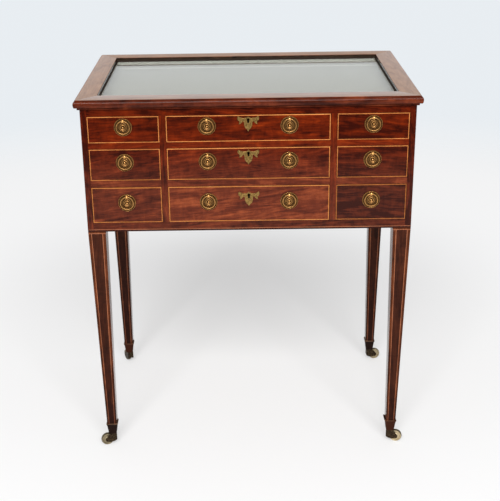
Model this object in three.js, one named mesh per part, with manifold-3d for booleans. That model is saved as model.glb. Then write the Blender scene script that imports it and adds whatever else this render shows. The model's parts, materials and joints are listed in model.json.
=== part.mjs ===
// Collectors display table: a lined display well under a hinged glazed lid, three rows of
// ring-handled drawers, and four square tapered legs on brass casters.
// Lengths are in millimetres and +Z is up. The origin is on the floor under the middle of the
// table. The drawers face -Y, and +X is the right-hand side of someone standing before them.

import * as THREE from 'three';
import { mergeVertices } from 'three/addons/utils/BufferGeometryUtils.js';
import Module from 'manifold-3d';

const wasm = await Module();
wasm.setup();

// Overall sizes
const tableHeight = 765;
const lidWidth = 660;
const lidDepth = 440;
const lidOverhang = 11;

// Shared clearances and the overrun of every cutting solid
const seatGap = 0.3;
const cutOverrun = 2;

// Lid frame and its pane
const lidThickness = 19.2;
const lidRailWidth = 42;
const quirkInset = 4.2;
const quirkDepth = 2.3;
const thumbWaistDrop = 8.2;
const thumbFootInset = 2.8;
const thumbHeight = 15;
const filletInset = 6.6;
const innerEdgeRadius = 0.8;
const glassThickness = 3;
const glassSink = 9;
const glassBite = 7;
const glassSidePlay = 0.5;

// Carcase boards
const sideThickness = 12;
const backThickness = 10;
const partitionThickness = 12.5;
const dustBoardThickness = 8;
const bottomBoardThickness = 10;
const topRailDepth = 20;
const crossRailDepth = 50;

// Heights down the front, from the top rail to the bottom rail
const topRailHeight = 13.9;
const topOpeningHeight = 52.4;
const upperDividerHeight = 11.9;
const middleOpeningHeight = 63.7;
const lowerDividerHeight = 13.6;
const bottomOpeningHeight = 73;
const bottomRailHeight = 18.7;

// Display tray
const trayFloorThickness = 4.5;
const trayWallThickness = 4.5;

// Drawers
const centreOpeningWidth = 314.4;
const drawerFrontThickness = 14;
const drawerWallThickness = 7;
const drawerBottomThickness = 6;
const drawerBackClearance = 10;
const drawerSideGap = 0.6;
const drawerTopGap = 0.9;
const drawerRunGap = 0.4;
const drawerSideDrop = 2;
const drawerBackDrop = 8;

// Ring handles
const handlePlateRadius = 17.5;
const handlePlateThickness = 0.9;
const handleRimHeight = 2.1;
const handleRimWidth = 2.3;
const handleBossRadius = 9.2;
const handleBossHeight = 3.3;
const handleNubRadius = 2;
const handleNubHeight = 4.9;
const handleStandoff = 3.6;
const handleBallRadius = 3.5;
const ringRadius = 12.5;
const ringWireRadius = 1.5;
const ringEyeClearance = 0.9;
const centreHandleOffset = 78.7;
const handleRise = 4.8;

// Lock plates
const lockPlateWidth = 42;
const lockPlateHeight = 30;
const lockPlateThickness = 1.2;
const keyholeRadius = 2.3;
const keySlotHalfWidth = 1.3;
const keySlotDrop = 6.6;
const keyholeDepth = 9;
const topKeyholeDrop = 9.6;
const middleKeyholeDrop = 11.2;
const bottomKeyholeDrop = 18.6;

// Lid hinges
const hingeLength = 50;
const hingeLeafThickness = 1.5;
const hingeBarrelRadius = 3;
const hingePinRadius = 1.1;
const hingePinClearance = 0.35;
const hingeBarrelStandoff = 3.5;
const hingeEndInset = 79;
const hingeKnuckles = 5;

// Legs and caster cups
const legTopSize = 35;
const legOuterTaper = 10;
const legInnerTaper = 4.5;
const cupHeight = 25.5;
const cupShoulderHeight = 19.8;
const cupLipHeight = 2;
const cupFootSize = 16.6;
const cupShoulderSize = 21.4;
const cupLipSize = 24.4;
const swivelStemRadius = 2.9;
const swivelStemLength = 16;
const swivelStemClearance = 0.5;

// Caster horns and wheels
const wheelRadius = 13.6;
const wheelWidth = 9;
const wheelTreadWidth = 6;
const wheelHubRadius = 5.1;
const wheelRimInnerRadius = 10.2;
const wheelDish = 1.4;
const wheelTopClearance = 0.8;
const wheelSidePlay = 0.5;
const axleRadius = 1.6;
const axleClearance = 0.4;
const casterTrail = 12.8;
const hornPlateThickness = 2.4;
const hornPlateReach = 4.4;
const hornBackReach = 7;
const hornBackThickness = 2.4;
const hornBackFootHeight = 11.9;
const hornCheekThickness = 2;
const hornAxleEyeRadius = 5.2;
const hornLowestHeight = 7.4;

// Directions in which the four casters trail, in degrees from +X
const casterYaws = { front_left: 197, front_right: -14, back_left: 118, back_right: 4 };

// Facets round the turned pieces and along the curves
const roundFacets = 16;
const ringFacets = 20;
const wireFacets = 6;
const smallFacets = 8;
const pinFacets = 10;
const wheelFacets = 16;
const arcFacets = 3;
const mergeTolerance = 0.0001;

// Places that follow from the sizes
const carcaseWidth = lidWidth - 2 * lidOverhang;
const carcaseDepth = lidDepth - 2 * lidOverhang;
const frontFace = -carcaseDepth / 2;
const backFace = carcaseDepth / 2;
const backPanelFront = backFace - backThickness;
const innerHalfWidth = carcaseWidth / 2 - sideThickness;
const lidUnderside = tableHeight - lidThickness;
const carcaseTop = lidUnderside - seatGap;
const topCeiling = carcaseTop - topRailHeight;
const topFloor = topCeiling - topOpeningHeight;
const middleCeiling = topFloor - upperDividerHeight;
const middleFloor = middleCeiling - middleOpeningHeight;
const bottomCeiling = middleFloor - lowerDividerHeight;
const bottomFloor = bottomCeiling - bottomOpeningHeight;
const carcaseBottom = bottomFloor - bottomRailHeight;
const cupFoot = 2 * wheelRadius + wheelTopClearance;
const hingeAxisY = backFace + hingeBarrelStandoff;
const hingeAxisZ = (carcaseTop + lidUnderside) / 2;
const hingeSpacing = carcaseWidth - 2 * hingeEndInset - hingeLength;
const partitionInner = centreOpeningWidth / 2;
const partitionOuter = partitionInner + partitionThickness;

const rows = [
  { name: 'top', floor: topFloor, ceiling: topCeiling, keyholeDrop: topKeyholeDrop },
  { name: 'middle', floor: middleFloor, ceiling: middleCeiling, keyholeDrop: middleKeyholeDrop },
  { name: 'bottom', floor: bottomFloor, ceiling: bottomCeiling, keyholeDrop: bottomKeyholeDrop },
];
const columns = [
  { name: 'left', from: -innerHalfWidth, to: -partitionOuter },
  { name: 'centre', from: -partitionInner, to: partitionInner },
  { name: 'right', from: partitionOuter, to: innerHalfWidth },
];

// Finishes
const mahogany = { color: 0x6a2e1a, roughness: 0.35, metalness: 0 };
const carcaseWood = { color: 0x5a2a1a, roughness: 0.45, metalness: 0 };
const brass = { color: 0xb08a45, roughness: 0.32, metalness: 1 };
const agedBrass = { color: 0x6d5a38, roughness: 0.45, metalness: 1 };
const lining = { color: 0xb4b3a8, roughness: 0.95, metalness: 0 };
const paneGlass = { color: 0xdfe8e6, roughness: 0.05, metalness: 0 };

const group = new THREE.Group();

// Adds one named piece to a parent group
function addPiece(name, geometry, finish, parent = group) {
  const mesh = new THREE.Mesh(geometry, new THREE.MeshStandardMaterial(finish));
  mesh.name = name;
  parent.add(mesh);
  return mesh;
}

// Leaves out the triangles that shrink to a line where a profile meets its axis
function withoutSlivers(index) {
  const kept = [];
  for (let corner = 0; corner < index.length; corner += 3) {
    const [a, b, c] = [index[corner], index[corner + 1], index[corner + 2]];
    if (a !== b && b !== c && c !== a) kept.push(a, b, c);
  }
  return new Uint32Array(kept);
}

// Turns a closed geometry into a solid that can be joined and cut
function solidOf(geometry) {
  const bare = geometry.clone();
  bare.deleteAttribute('normal');
  bare.deleteAttribute('uv');
  const merged = mergeVertices(bare, mergeTolerance);
  return new wasm.Manifold(new wasm.Mesh({
    numProp: 3,
    vertProperties: merged.attributes.position.array,
    triVerts: withoutSlivers(merged.index.array),
  }));
}

// Turns a solid back into a geometry
function geometryOf(solid) {
  const mesh = solid.getMesh();
  const geometry = new THREE.BufferGeometry();
  geometry.setAttribute('position', new THREE.BufferAttribute(mesh.vertProperties, mesh.numProp));
  geometry.setIndex(new THREE.BufferAttribute(mesh.triVerts, 1));
  geometry.computeVertexNormals();
  return geometry;
}

// A block between two values along each axis
function block(xFrom, xTo, yFrom, yTo, zFrom, zTo) {
  const geometry = new THREE.BoxGeometry(xTo - xFrom, yTo - yFrom, zTo - zFrom);
  geometry.translate((xFrom + xTo) / 2, (yFrom + yTo) / 2, (zFrom + zTo) / 2);
  return geometry;
}

// A round bar along X, between two values of x, about the line through the given y and z
function barAlongX(radius, xFrom, xTo, y, z, facets) {
  const geometry = new THREE.CylinderGeometry(radius, radius, xTo - xFrom, facets);
  geometry.rotateZ(Math.PI / 2);
  geometry.translate((xFrom + xTo) / 2, y, z);
  return geometry;
}

// A round bar along Y
function barAlongY(radius, yFrom, yTo, x, z, facets) {
  const geometry = new THREE.CylinderGeometry(radius, radius, yTo - yFrom, facets);
  geometry.translate(x, (yFrom + yTo) / 2, z);
  return geometry;
}

// A round bar along Z
function barAlongZ(radius, zFrom, zTo, x, y, facets) {
  const geometry = new THREE.CylinderGeometry(radius, radius, zTo - zFrom, facets);
  geometry.rotateX(Math.PI / 2);
  geometry.translate(x, y, (zFrom + zTo) / 2);
  return geometry;
}

// A closed loft whose sections are rings of points, one ring above the other or round a loop
function loft(rings, closed) {
  const perRing = rings[0].length;
  const positions = rings.flat(2);
  const index = [];
  const spans = closed ? rings.length : rings.length - 1;
  for (let span = 0; span < spans; span += 1) {
    const here = span * perRing;
    const next = ((span + 1) % rings.length) * perRing;
    for (let point = 0; point < perRing; point += 1) {
      const after = (point + 1) % perRing;
      index.push(here + point, here + after, next + after);
      index.push(here + point, next + after, next + point);
    }
  }
  if (!closed) {
    const top = (rings.length - 1) * perRing;
    for (let point = 1; point < perRing - 1; point += 1) {
      index.push(0, point + 1, point);
      index.push(top, top + point, top + point + 1);
    }
  }
  const geometry = new THREE.BufferGeometry();
  geometry.setAttribute('position', new THREE.Float32BufferAttribute(positions, 3));
  geometry.setIndex(index);
  geometry.computeVertexNormals();
  return geometry;
}

// Points of an ellipse's arc about a centre, both ends included
function arcPoints(centreX, centreY, radiusX, radiusY, fromAngle, toAngle) {
  const points = [];
  for (let step = 0; step <= arcFacets; step += 1) {
    const angle = fromAngle + (toAngle - fromAngle) * step / arcFacets;
    points.push([centreX + radiusX * Math.cos(angle), centreY + radiusY * Math.sin(angle)]);
  }
  return points;
}

// Section of a lid rail: distance in from the lid's outermost edge, and height above its top face.
// It has a thumb-moulded outer edge, a groove that holds the pane and an eased inner edge.
function lidRailSection() {
  const grooveInset = lidRailWidth - glassBite - glassSidePlay;
  const seatDrop = glassSink + glassThickness;
  return [
    [filletInset, -lidThickness],
    [lidRailWidth, -lidThickness],
    [lidRailWidth, -seatDrop],
    [grooveInset, -seatDrop],
    [grooveInset, seatGap - glassSink],
    [lidRailWidth, seatGap - glassSink],
    ...arcPoints(lidRailWidth - innerEdgeRadius, -innerEdgeRadius, innerEdgeRadius,
      innerEdgeRadius, 0, Math.PI / 2),
    [quirkInset, 0],
    ...arcPoints(quirkInset, -thumbWaistDrop, quirkInset, thumbWaistDrop - quirkDepth,
      Math.PI / 2, Math.PI),
    ...arcPoints(thumbFootInset, -thumbWaistDrop, thumbFootInset, thumbHeight - thumbWaistDrop,
      Math.PI, Math.PI * 3 / 2).slice(1),
    [filletInset, -thumbHeight],
  ];
}

// The four mitred rails as one frame: the section swept round the lid's four corners
function lidFrame() {
  const section = lidRailSection();
  const corners = [[-1, -1], [1, -1], [1, 1], [-1, 1]];
  const rings = corners.map(([sideX, sideY]) => section.map(([inset, rise]) => [
    sideX * (lidWidth / 2 - inset),
    sideY * (lidDepth / 2 - inset),
    tableHeight + rise,
  ]));
  let frame = solidOf(loft(rings, true));
  for (const side of [-1, 1]) {
    const from = side * hingeSpacing / 2 - hingeLength / 2 - seatGap;
    const to = side * hingeSpacing / 2 + hingeLength / 2 + seatGap;
    const pastEdge = lidDepth / 2 - quirkInset;
    const leafTop = hingeAxisZ + seatGap / 2 + hingeLeafThickness;
    const barrelReach = hingeBarrelRadius + seatGap;
    const below = lidUnderside - cutOverrun;
    const leafSeat = block(from, to, backPanelFront, pastEdge, below, leafTop);
    const barrelSeat = block(from, to, hingeAxisY - barrelReach, pastEdge, below,
      hingeAxisZ + barrelReach);
    frame = frame.subtract(solidOf(leafSeat)).subtract(solidOf(barrelSeat));
  }
  return geometryOf(frame);
}

// The pane, lying on its seat in the frame's groove
function lidGlass() {
  const halfWidth = lidWidth / 2 - lidRailWidth + glassBite;
  const halfDepth = lidDepth / 2 - lidRailWidth + glassBite;
  const top = tableHeight - glassSink;
  return block(-halfWidth, halfWidth, -halfDepth, halfDepth, top - glassThickness, top);
}

// One half of a butt hinge about its own barrel axis. The lower half is bored for the pin,
// and the upper half carries the pin.
function hingeHalf(upper) {
  const side = upper ? 1 : -1;
  const nearZ = side * seatGap / 2;
  const farZ = side * (seatGap / 2 + hingeLeafThickness);
  const [low, high] = upper ? [nearZ, farZ] : [farZ, nearZ];
  const leafReach = hingeBarrelStandoff + backThickness - seatGap;
  const clearOfBarrel = -hingeBarrelRadius - seatGap;
  const knuckleLength = (hingeLength - (hingeKnuckles - 1) * seatGap) / hingeKnuckles;
  let half = solidOf(block(-hingeLength / 2, hingeLength / 2, -leafReach, clearOfBarrel, low, high));
  for (let knuckle = upper ? 1 : 0; knuckle < hingeKnuckles; knuckle += 2) {
    const from = -hingeLength / 2 + knuckle * (knuckleLength + seatGap);
    const to = from + knuckleLength;
    half = half.add(solidOf(block(from, to, clearOfBarrel - cutOverrun, 0, low, high)));
    half = half.add(solidOf(barAlongX(hingeBarrelRadius, from, to, 0, 0, pinFacets)));
  }
  if (upper) {
    const pin = barAlongX(hingePinRadius, -hingeLength / 2, hingeLength / 2, 0, 0, pinFacets);
    return geometryOf(half.add(solidOf(pin)));
  }
  const boreEnd = hingeLength / 2 + cutOverrun;
  const bore = barAlongX(hingePinRadius + hingePinClearance, -boreEnd, boreEnd, 0, 0, pinFacets);
  return geometryOf(half.subtract(solidOf(bore)));
}

// A side of the carcase
function sidePanel(side) {
  const outer = side * carcaseWidth / 2;
  const inner = side * innerHalfWidth;
  return block(Math.min(outer, inner), Math.max(outer, inner), frontFace, backFace,
    carcaseBottom, carcaseTop);
}

// The back, with a seat in its top edge for each hinge leaf
function backPanel() {
  let panel = solidOf(block(-innerHalfWidth, innerHalfWidth, backPanelFront, backFace,
    carcaseBottom, carcaseTop));
  for (const side of [-1, 1]) {
    const centre = side * hingeSpacing / 2;
    const reach = hingeLength / 2 + seatGap;
    const floor = hingeAxisZ - seatGap / 2 - hingeLeafThickness;
    const seat = block(centre - reach, centre + reach, backPanelFront - cutOverrun,
      backFace + cutOverrun, floor, carcaseTop + cutOverrun);
    panel = panel.subtract(solidOf(seat));
  }
  return geometryOf(panel);
}

// A board across the carcase from front to back, thin behind a deeper front rail
function railedBoard(floor, ceiling, boardThickness) {
  const rail = block(-innerHalfWidth, innerHalfWidth, frontFace, frontFace + crossRailDepth,
    floor, ceiling);
  const board = block(-innerHalfWidth, innerHalfWidth, frontFace, backPanelFront,
    ceiling - boardThickness, ceiling);
  return solidOf(rail).add(solidOf(board));
}

// The bottom board, with a rail under its back edge as well for the back legs
function bottomBoard() {
  const backRail = block(-innerHalfWidth, innerHalfWidth, backPanelFront - crossRailDepth,
    backPanelFront, carcaseBottom, bottomFloor);
  const board = railedBoard(carcaseBottom, bottomFloor, bottomBoardThickness);
  return geometryOf(board.add(solidOf(backRail)));
}

// The glued-up frame that divides the drawers: top rail, two railed dust boards and two partitions
function drawerFrame() {
  let frame = solidOf(block(-innerHalfWidth, innerHalfWidth, frontFace, frontFace + topRailDepth,
    topCeiling, carcaseTop));
  frame = frame.add(railedBoard(middleCeiling, topFloor, dustBoardThickness));
  frame = frame.add(railedBoard(bottomCeiling, middleFloor, dustBoardThickness));
  for (const side of [-1, 1]) {
    const near = Math.min(side * partitionInner, side * partitionOuter);
    const partition = block(near, near + partitionThickness, frontFace, backPanelFront,
      bottomFloor, topCeiling);
    frame = frame.add(solidOf(partition));
  }
  return geometryOf(frame);
}

// The lined tray under the glass, sitting on the partitions behind the top rail
function displayTray() {
  const front = frontFace + topRailDepth;
  const outer = block(-innerHalfWidth, innerHalfWidth, front, backPanelFront, topCeiling,
    carcaseTop);
  const well = block(-innerHalfWidth + trayWallThickness, innerHalfWidth - trayWallThickness,
    front + trayWallThickness, backPanelFront - trayWallThickness,
    topCeiling + trayFloorThickness, carcaseTop + cutOverrun);
  return geometryOf(solidOf(outer).subtract(solidOf(well)));
}

// Keyhole about the centre of its round head
function keyholeShape() {
  const headMeetsSlot = Math.asin(keySlotHalfWidth / keyholeRadius);
  const shape = new THREE.Shape();
  shape.moveTo(-keySlotHalfWidth, -keySlotDrop);
  shape.lineTo(keySlotHalfWidth, -keySlotDrop);
  shape.absarc(0, 0, keyholeRadius, headMeetsSlot - Math.PI / 2,
    Math.PI * 3 / 2 - headMeetsSlot, false);
  return shape;
}

// Stands a flat shape upright, with its thickness running forward from y = 0
function uprightExtrusion(shape, thickness, facets) {
  const geometry = new THREE.ExtrudeGeometry(shape, {
    depth: thickness,
    bevelEnabled: false,
    curveSegments: facets,
  });
  geometry.rotateX(Math.PI / 2);
  return geometry;
}

// A drawer about the middle of its front's bottom edge: a front, two sides, a lower back and
// a bottom, glued together
function drawer(width, height, keyholeRise) {
  const half = width / 2;
  const length = backPanelFront - frontFace - drawerBackClearance;
  const inside = half - drawerWallThickness;
  const backInside = length - drawerWallThickness;
  const sideTop = height - drawerSideDrop;
  const carton = solidOf(block(-half, half, 0, length, 0, sideTop));
  const hollow = block(-inside, inside, drawerFrontThickness, backInside, drawerBottomThickness,
    height);
  const backCut = block(-inside, inside, backInside - cutOverrun, length + cutOverrun,
    height - drawerBackDrop, height);
  const front = block(-half, half, 0, drawerFrontThickness, 0, height);
  let body = carton.subtract(solidOf(hollow)).subtract(solidOf(backCut)).add(solidOf(front));
  if (keyholeRise !== null) {
    const keyhole = uprightExtrusion(keyholeShape(), keyholeDepth + cutOverrun, smallFacets / 2);
    keyhole.translate(0, keyholeDepth, keyholeRise);
    body = body.subtract(solidOf(keyhole));
  }
  return geometryOf(body);
}

// The turned plate behind a ring handle, with a raised rim, a domed boss and a drilled ball
function handlePlate() {
  const rimInner = handlePlateRadius - handleRimWidth;
  const profile = [
    [0, 0],
    [handlePlateRadius, 0],
    [handlePlateRadius, (handlePlateThickness + handleRimHeight) / 2],
    [handlePlateRadius - handleRimWidth / 2, handleRimHeight],
    [rimInner, handlePlateThickness],
    [handleBossRadius, handlePlateThickness],
    [(handleBossRadius + rimInner - handleRimWidth * 2) / 2, handleBossHeight * 3 / 4],
    [handleBossRadius / 2 + handleNubRadius / 2, handleBossHeight],
    [handleNubRadius * 3 / 2, handleBossHeight * 3 / 4],
    [handleNubRadius, (handleBossHeight + handleNubHeight) / 2],
    [0, handleNubHeight],
  ];
  const points = profile.map(([radius, rise]) => new THREE.Vector2(radius, -rise));
  const plate = solidOf(new THREE.LatheGeometry(points.reverse(), roundFacets));
  const ball = new THREE.SphereGeometry(handleBallRadius, smallFacets, smallFacets / 2 + 1);
  ball.translate(0, -handleStandoff, ringRadius);
  const eyeReach = handleBallRadius + cutOverrun;
  const eye = barAlongX(ringWireRadius + ringEyeClearance, -eyeReach, eyeReach, -handleStandoff,
    ringRadius, smallFacets);
  return geometryOf(plate.add(solidOf(ball).subtract(solidOf(eye))));
}

// The ring, hanging concentric with its plate
function handleRing() {
  const ring = new THREE.TorusGeometry(ringRadius, ringWireRadius, wireFacets, ringFacets);
  ring.rotateX(Math.PI / 2);
  ring.translate(0, -handleStandoff, 0);
  return ring;
}

// Half of the batwing outline as shares of the plate's half width and height, about the keyhole.
// Each row is a curve's control point and its end point.
const lockPlateStartShare = 0.21;
const lockPlateShares = [
  [0.14, 0.1, 0.4, 0.1],
  [0.66, 0.09, 0.88, 0.225],
  [1, 0.19, 1, 0.08],
  [0.96, -0.06, 0.84, -0.08],
  [0.78, -0.2, 0.86, -0.31],
  [0.6, -0.26, 0.5, -0.1],
  [0.36, -0.1, 0.37, -0.3],
  [0.35, -0.52, 0.13, -0.63],
  [0.05, -0.67, 0, -0.79],
];

// The flat brass lock plate, pierced for the key
function lockPlate() {
  const halfWidth = lockPlateWidth / 2;
  const shape = new THREE.Shape();
  shape.moveTo(0, lockPlateStartShare * lockPlateHeight);
  for (const [bendX, bendZ, endX, endZ] of lockPlateShares) {
    shape.quadraticCurveTo(bendX * halfWidth, bendZ * lockPlateHeight, endX * halfWidth,
      endZ * lockPlateHeight);
  }
  const ends = [[0, lockPlateStartShare], ...lockPlateShares.map((share) => share.slice(2))];
  for (let curve = lockPlateShares.length - 1; curve >= 0; curve -= 1) {
    const [bendX, bendZ] = lockPlateShares[curve];
    const [endX, endZ] = ends[curve];
    shape.quadraticCurveTo(-bendX * halfWidth, bendZ * lockPlateHeight, -endX * halfWidth,
      endZ * lockPlateHeight);
  }
  shape.holes.push(keyholeShape());
  return uprightExtrusion(shape, lockPlateThickness, arcFacets);
}

// A rectangle of a leg or cup at one height, given its outer and inner edges from the centre
function legSection(sideX, sideY, height, outerInset, size) {
  const outerX = sideX * (carcaseWidth / 2 - outerInset);
  const innerX = outerX - sideX * size;
  const outerY = sideY * (carcaseDepth / 2 - outerInset);
  const innerY = outerY - sideY * size;
  const [left, right] = [Math.min(outerX, innerX), Math.max(outerX, innerX)];
  const [front, back] = [Math.min(outerY, innerY), Math.max(outerY, innerY)];
  return [[left, front, height], [right, front, height], [right, back, height],
    [left, back, height]];
}

const legFootSize = legTopSize - legOuterTaper - legInnerTaper;
const legAxisInset = legOuterTaper + legFootSize / 2;
const legAxisX = carcaseWidth / 2 - legAxisInset;
const legAxisY = carcaseDepth / 2 - legAxisInset;

// A tapered leg with the square brass cup that shoes it, bored for the caster's stem
function leg(sideX, sideY) {
  const cupTop = cupFoot + cupHeight;
  const cupSection = (height, size) => legSection(sideX, sideY, height,
    legAxisInset - size / 2, size);
  const outline = solidOf(loft([
    cupSection(cupFoot, cupFootSize),
    cupSection(cupFoot + cupShoulderHeight, cupShoulderSize),
    cupSection(cupTop - cupLipHeight, cupLipSize),
    cupSection(cupTop, cupLipSize),
    legSection(sideX, sideY, cupTop, legOuterTaper, legFootSize),
    legSection(sideX, sideY, carcaseBottom, 0, legTopSize),
  ], false));
  const bore = barAlongZ(swivelStemRadius + swivelStemClearance, cupFoot - cutOverrun,
    cupFoot + swivelStemLength + seatGap, sideX * legAxisX, sideY * legAxisY, pinFacets);
  return geometryOf(outline.subtract(solidOf(bore)));
}

// Side view of a caster's horn, which reaches from the swivel back and down to the axle
function hornCheekShape() {
  const top = cupFoot - seatGap;
  const eye = hornAxleEyeRadius;
  const shape = new THREE.Shape();
  shape.moveTo(-hornBackReach, top);
  shape.lineTo(-hornBackReach, hornBackFootHeight);
  shape.quadraticCurveTo(-hornBackReach / 2, hornLowestHeight, casterTrail / 2, hornLowestHeight);
  shape.lineTo(casterTrail, wheelRadius - eye);
  shape.absarc(casterTrail, wheelRadius, eye, -Math.PI / 2, Math.PI / 4, false);
  shape.quadraticCurveTo(casterTrail - eye / 2, top - eye / 2, hornPlateReach, top);
  return shape;
}

// The forked horn about its swivel axis, trailing towards +X, with its stem and axle
function casterHorn() {
  const top = cupFoot - seatGap;
  const innerFace = wheelWidth / 2 + wheelSidePlay;
  const outerFace = innerFace + hornCheekThickness;
  const plate = block(-hornBackReach, hornPlateReach, -outerFace, outerFace,
    top - hornPlateThickness, top);
  const back = block(-hornBackReach, hornBackThickness - hornBackReach, -outerFace, outerFace,
    hornBackFootHeight, top);
  let horn = solidOf(plate).add(solidOf(back));
  for (const nearFace of [-innerFace, outerFace]) {
    const cheek = uprightExtrusion(hornCheekShape(), hornCheekThickness, arcFacets);
    cheek.translate(0, nearFace, 0);
    horn = horn.add(solidOf(cheek));
  }
  const stem = barAlongZ(swivelStemRadius, top - hornPlateThickness / 2,
    cupFoot + swivelStemLength, 0, 0, pinFacets);
  const axle = barAlongY(axleRadius, -outerFace, outerFace, casterTrail, wheelRadius, pinFacets);
  return geometryOf(horn.add(solidOf(stem)).add(solidOf(axle)));
}

// The turned wheel about its own axle along Y, resting on one of its flats
function casterWheel() {
  const flatToCorner = 1 / Math.cos(Math.PI / wheelFacets);
  const outer = wheelRadius * flatToCorner;
  const shoulder = (wheelRadius - (wheelWidth - wheelTreadWidth) / 2) * flatToCorner;
  const bore = axleRadius + axleClearance;
  const half = wheelWidth / 2;
  const halfProfile = [
    [bore, half],
    [wheelHubRadius, half],
    [wheelHubRadius + wheelDish, half - wheelDish],
    [wheelRimInnerRadius, half - wheelDish],
    [wheelRimInnerRadius, half],
    [shoulder, half],
    [outer, wheelTreadWidth / 2],
  ];
  const mirrored = halfProfile.map(([radius, y]) => [radius, -y]).reverse();
  const outline = [...halfProfile, ...mirrored, halfProfile[0]];
  const points = outline.map(([radius, y]) => new THREE.Vector2(radius, y)).reverse();
  const wheel = new THREE.LatheGeometry(points, wheelFacets);
  wheel.rotateY(Math.PI / wheelFacets);
  return wheel;
}

// Lid
addPiece('lid_frame', lidFrame(), mahogany);
addPiece('lid_glass', lidGlass(), paneGlass);
const hingeCarcaseHalf = hingeHalf(false);
const hingeLidHalf = hingeHalf(true);
for (const [name, side] of [['left', -1], ['right', 1]]) {
  const place = [side * hingeSpacing / 2, hingeAxisY, hingeAxisZ];
  addPiece(`hinge_leaf_carcase_${name}`, hingeCarcaseHalf, brass).position.set(...place);
  addPiece(`hinge_leaf_lid_${name}`, hingeLidHalf, brass).position.set(...place);
}

// Carcase
addPiece('side_panel_left', sidePanel(-1), mahogany);
addPiece('side_panel_right', sidePanel(1), mahogany);
addPiece('back_panel', backPanel(), carcaseWood);
addPiece('bottom_board', bottomBoard(), mahogany);
addPiece('drawer_frame', drawerFrame(), mahogany);
addPiece('display_tray', displayTray(), lining);

// Drawers with their handles and lock plates
const plateGeometry = handlePlate();
const ringGeometry = handleRing();
const lockPlateGeometry = lockPlate();
for (const row of rows) {
  const height = row.ceiling - row.floor - drawerTopGap - drawerRunGap;
  const bottom = row.floor + drawerRunGap;
  const handleHeight = (row.floor + row.ceiling) / 2 + handleRise;
  const keyholeHeight = row.ceiling - row.keyholeDrop;
  for (const column of columns) {
    const locked = column.name === 'centre';
    const middle = (column.from + column.to) / 2;
    const width = column.to - column.from - 2 * drawerSideGap;
    const geometry = drawer(width, height, locked ? keyholeHeight - bottom : null);
    addPiece(`drawer_${row.name}_${column.name}`, geometry, mahogany)
      .position.set(middle, frontFace, bottom);
    const handles = locked
      ? [['centre_left', -centreHandleOffset], ['centre_right', centreHandleOffset]]
      : [[column.name, middle]];
    for (const [handleName, handleX] of handles) {
      const place = [handleX, frontFace, handleHeight];
      addPiece(`handle_plate_${row.name}_${handleName}`, plateGeometry, brass)
        .position.set(...place);
      addPiece(`handle_ring_${row.name}_${handleName}`, ringGeometry, brass)
        .position.set(...place);
    }
    if (locked) {
      addPiece(`lock_plate_${row.name}`, lockPlateGeometry, agedBrass)
        .position.set(middle, frontFace, keyholeHeight);
    }
  }
}

// Legs and casters
const hornGeometry = casterHorn();
const wheelGeometry = casterWheel();
for (const [depthName, sideY] of [['front', -1], ['back', 1]]) {
  for (const [widthName, sideX] of [['left', -1], ['right', 1]]) {
    const corner = `${depthName}_${widthName}`;
    addPiece(`leg_${corner}`, leg(sideX, sideY), mahogany);
    const caster = new THREE.Group();
    caster.position.set(sideX * legAxisX, sideY * legAxisY, 0);
    caster.rotation.z = THREE.MathUtils.degToRad(casterYaws[corner]);
    addPiece(`caster_horn_${corner}`, hornGeometry, agedBrass, caster);
    addPiece(`caster_wheel_${corner}`, wheelGeometry, agedBrass, caster)
      .position.set(casterTrail, 0, wheelRadius);
    group.add(caster);
  }
}

export default group;
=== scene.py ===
"""Looks of the collectors display table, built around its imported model. Lengths are in metres."""

import json
import math

import bmesh
import bpy
from mathutils import Matrix, Vector


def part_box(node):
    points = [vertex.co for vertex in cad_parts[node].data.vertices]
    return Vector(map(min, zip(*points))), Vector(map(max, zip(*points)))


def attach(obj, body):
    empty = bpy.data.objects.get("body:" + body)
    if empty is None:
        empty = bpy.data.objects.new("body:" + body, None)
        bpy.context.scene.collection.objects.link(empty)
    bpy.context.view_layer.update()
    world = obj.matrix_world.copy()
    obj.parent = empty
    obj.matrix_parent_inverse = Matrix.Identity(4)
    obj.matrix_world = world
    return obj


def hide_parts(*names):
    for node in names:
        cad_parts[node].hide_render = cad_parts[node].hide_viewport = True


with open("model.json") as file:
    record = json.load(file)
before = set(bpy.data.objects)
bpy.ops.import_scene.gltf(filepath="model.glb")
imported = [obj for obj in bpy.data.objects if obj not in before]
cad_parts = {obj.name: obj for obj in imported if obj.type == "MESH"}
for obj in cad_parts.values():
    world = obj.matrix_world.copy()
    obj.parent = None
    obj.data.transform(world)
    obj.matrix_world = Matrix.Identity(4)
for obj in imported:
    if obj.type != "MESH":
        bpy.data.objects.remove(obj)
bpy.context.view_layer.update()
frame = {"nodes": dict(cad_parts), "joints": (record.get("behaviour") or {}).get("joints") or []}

JOINT_PLACES = {joint["name"]: Vector(joint["pos_m"]) for joint in frame["joints"] if "pos_m" in joint}

# Names of the repeated pieces
ROWS = ("top", "middle", "bottom")
COLUMNS = ("left", "centre", "right")
HANDLES = {
    "left": ("left",),
    "centre": ("centre_left", "centre_right"),
    "right": ("right",),
}
CORNERS = ("front_left", "front_right", "back_left", "back_right")
SIDES = {"left": -1, "right": 1}

# Boxes of the main pieces, read from the frame
SIDE_LOW, SIDE_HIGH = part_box("side_panel_right")
CARCASE_HALF_WIDTH = SIDE_HIGH.x
INNER_HALF_WIDTH = SIDE_LOW.x
CARCASE_FRONT = SIDE_LOW.y
CARCASE_BACK = SIDE_HIGH.y
CARCASE_BOTTOM = SIDE_LOW.z
CARCASE_TOP = SIDE_HIGH.z
LID_LOW, LID_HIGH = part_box("lid_frame")
GLASS_LOW, GLASS_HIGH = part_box("lid_glass")
TRAY_LOW, TRAY_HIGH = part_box("display_tray")

# How far the pale paper reaches over the tray's floor from its back, as painted light that evens out the
# shade at the foot of the back wall
PAINTED_LIGHT_FOLD = 0.016

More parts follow.
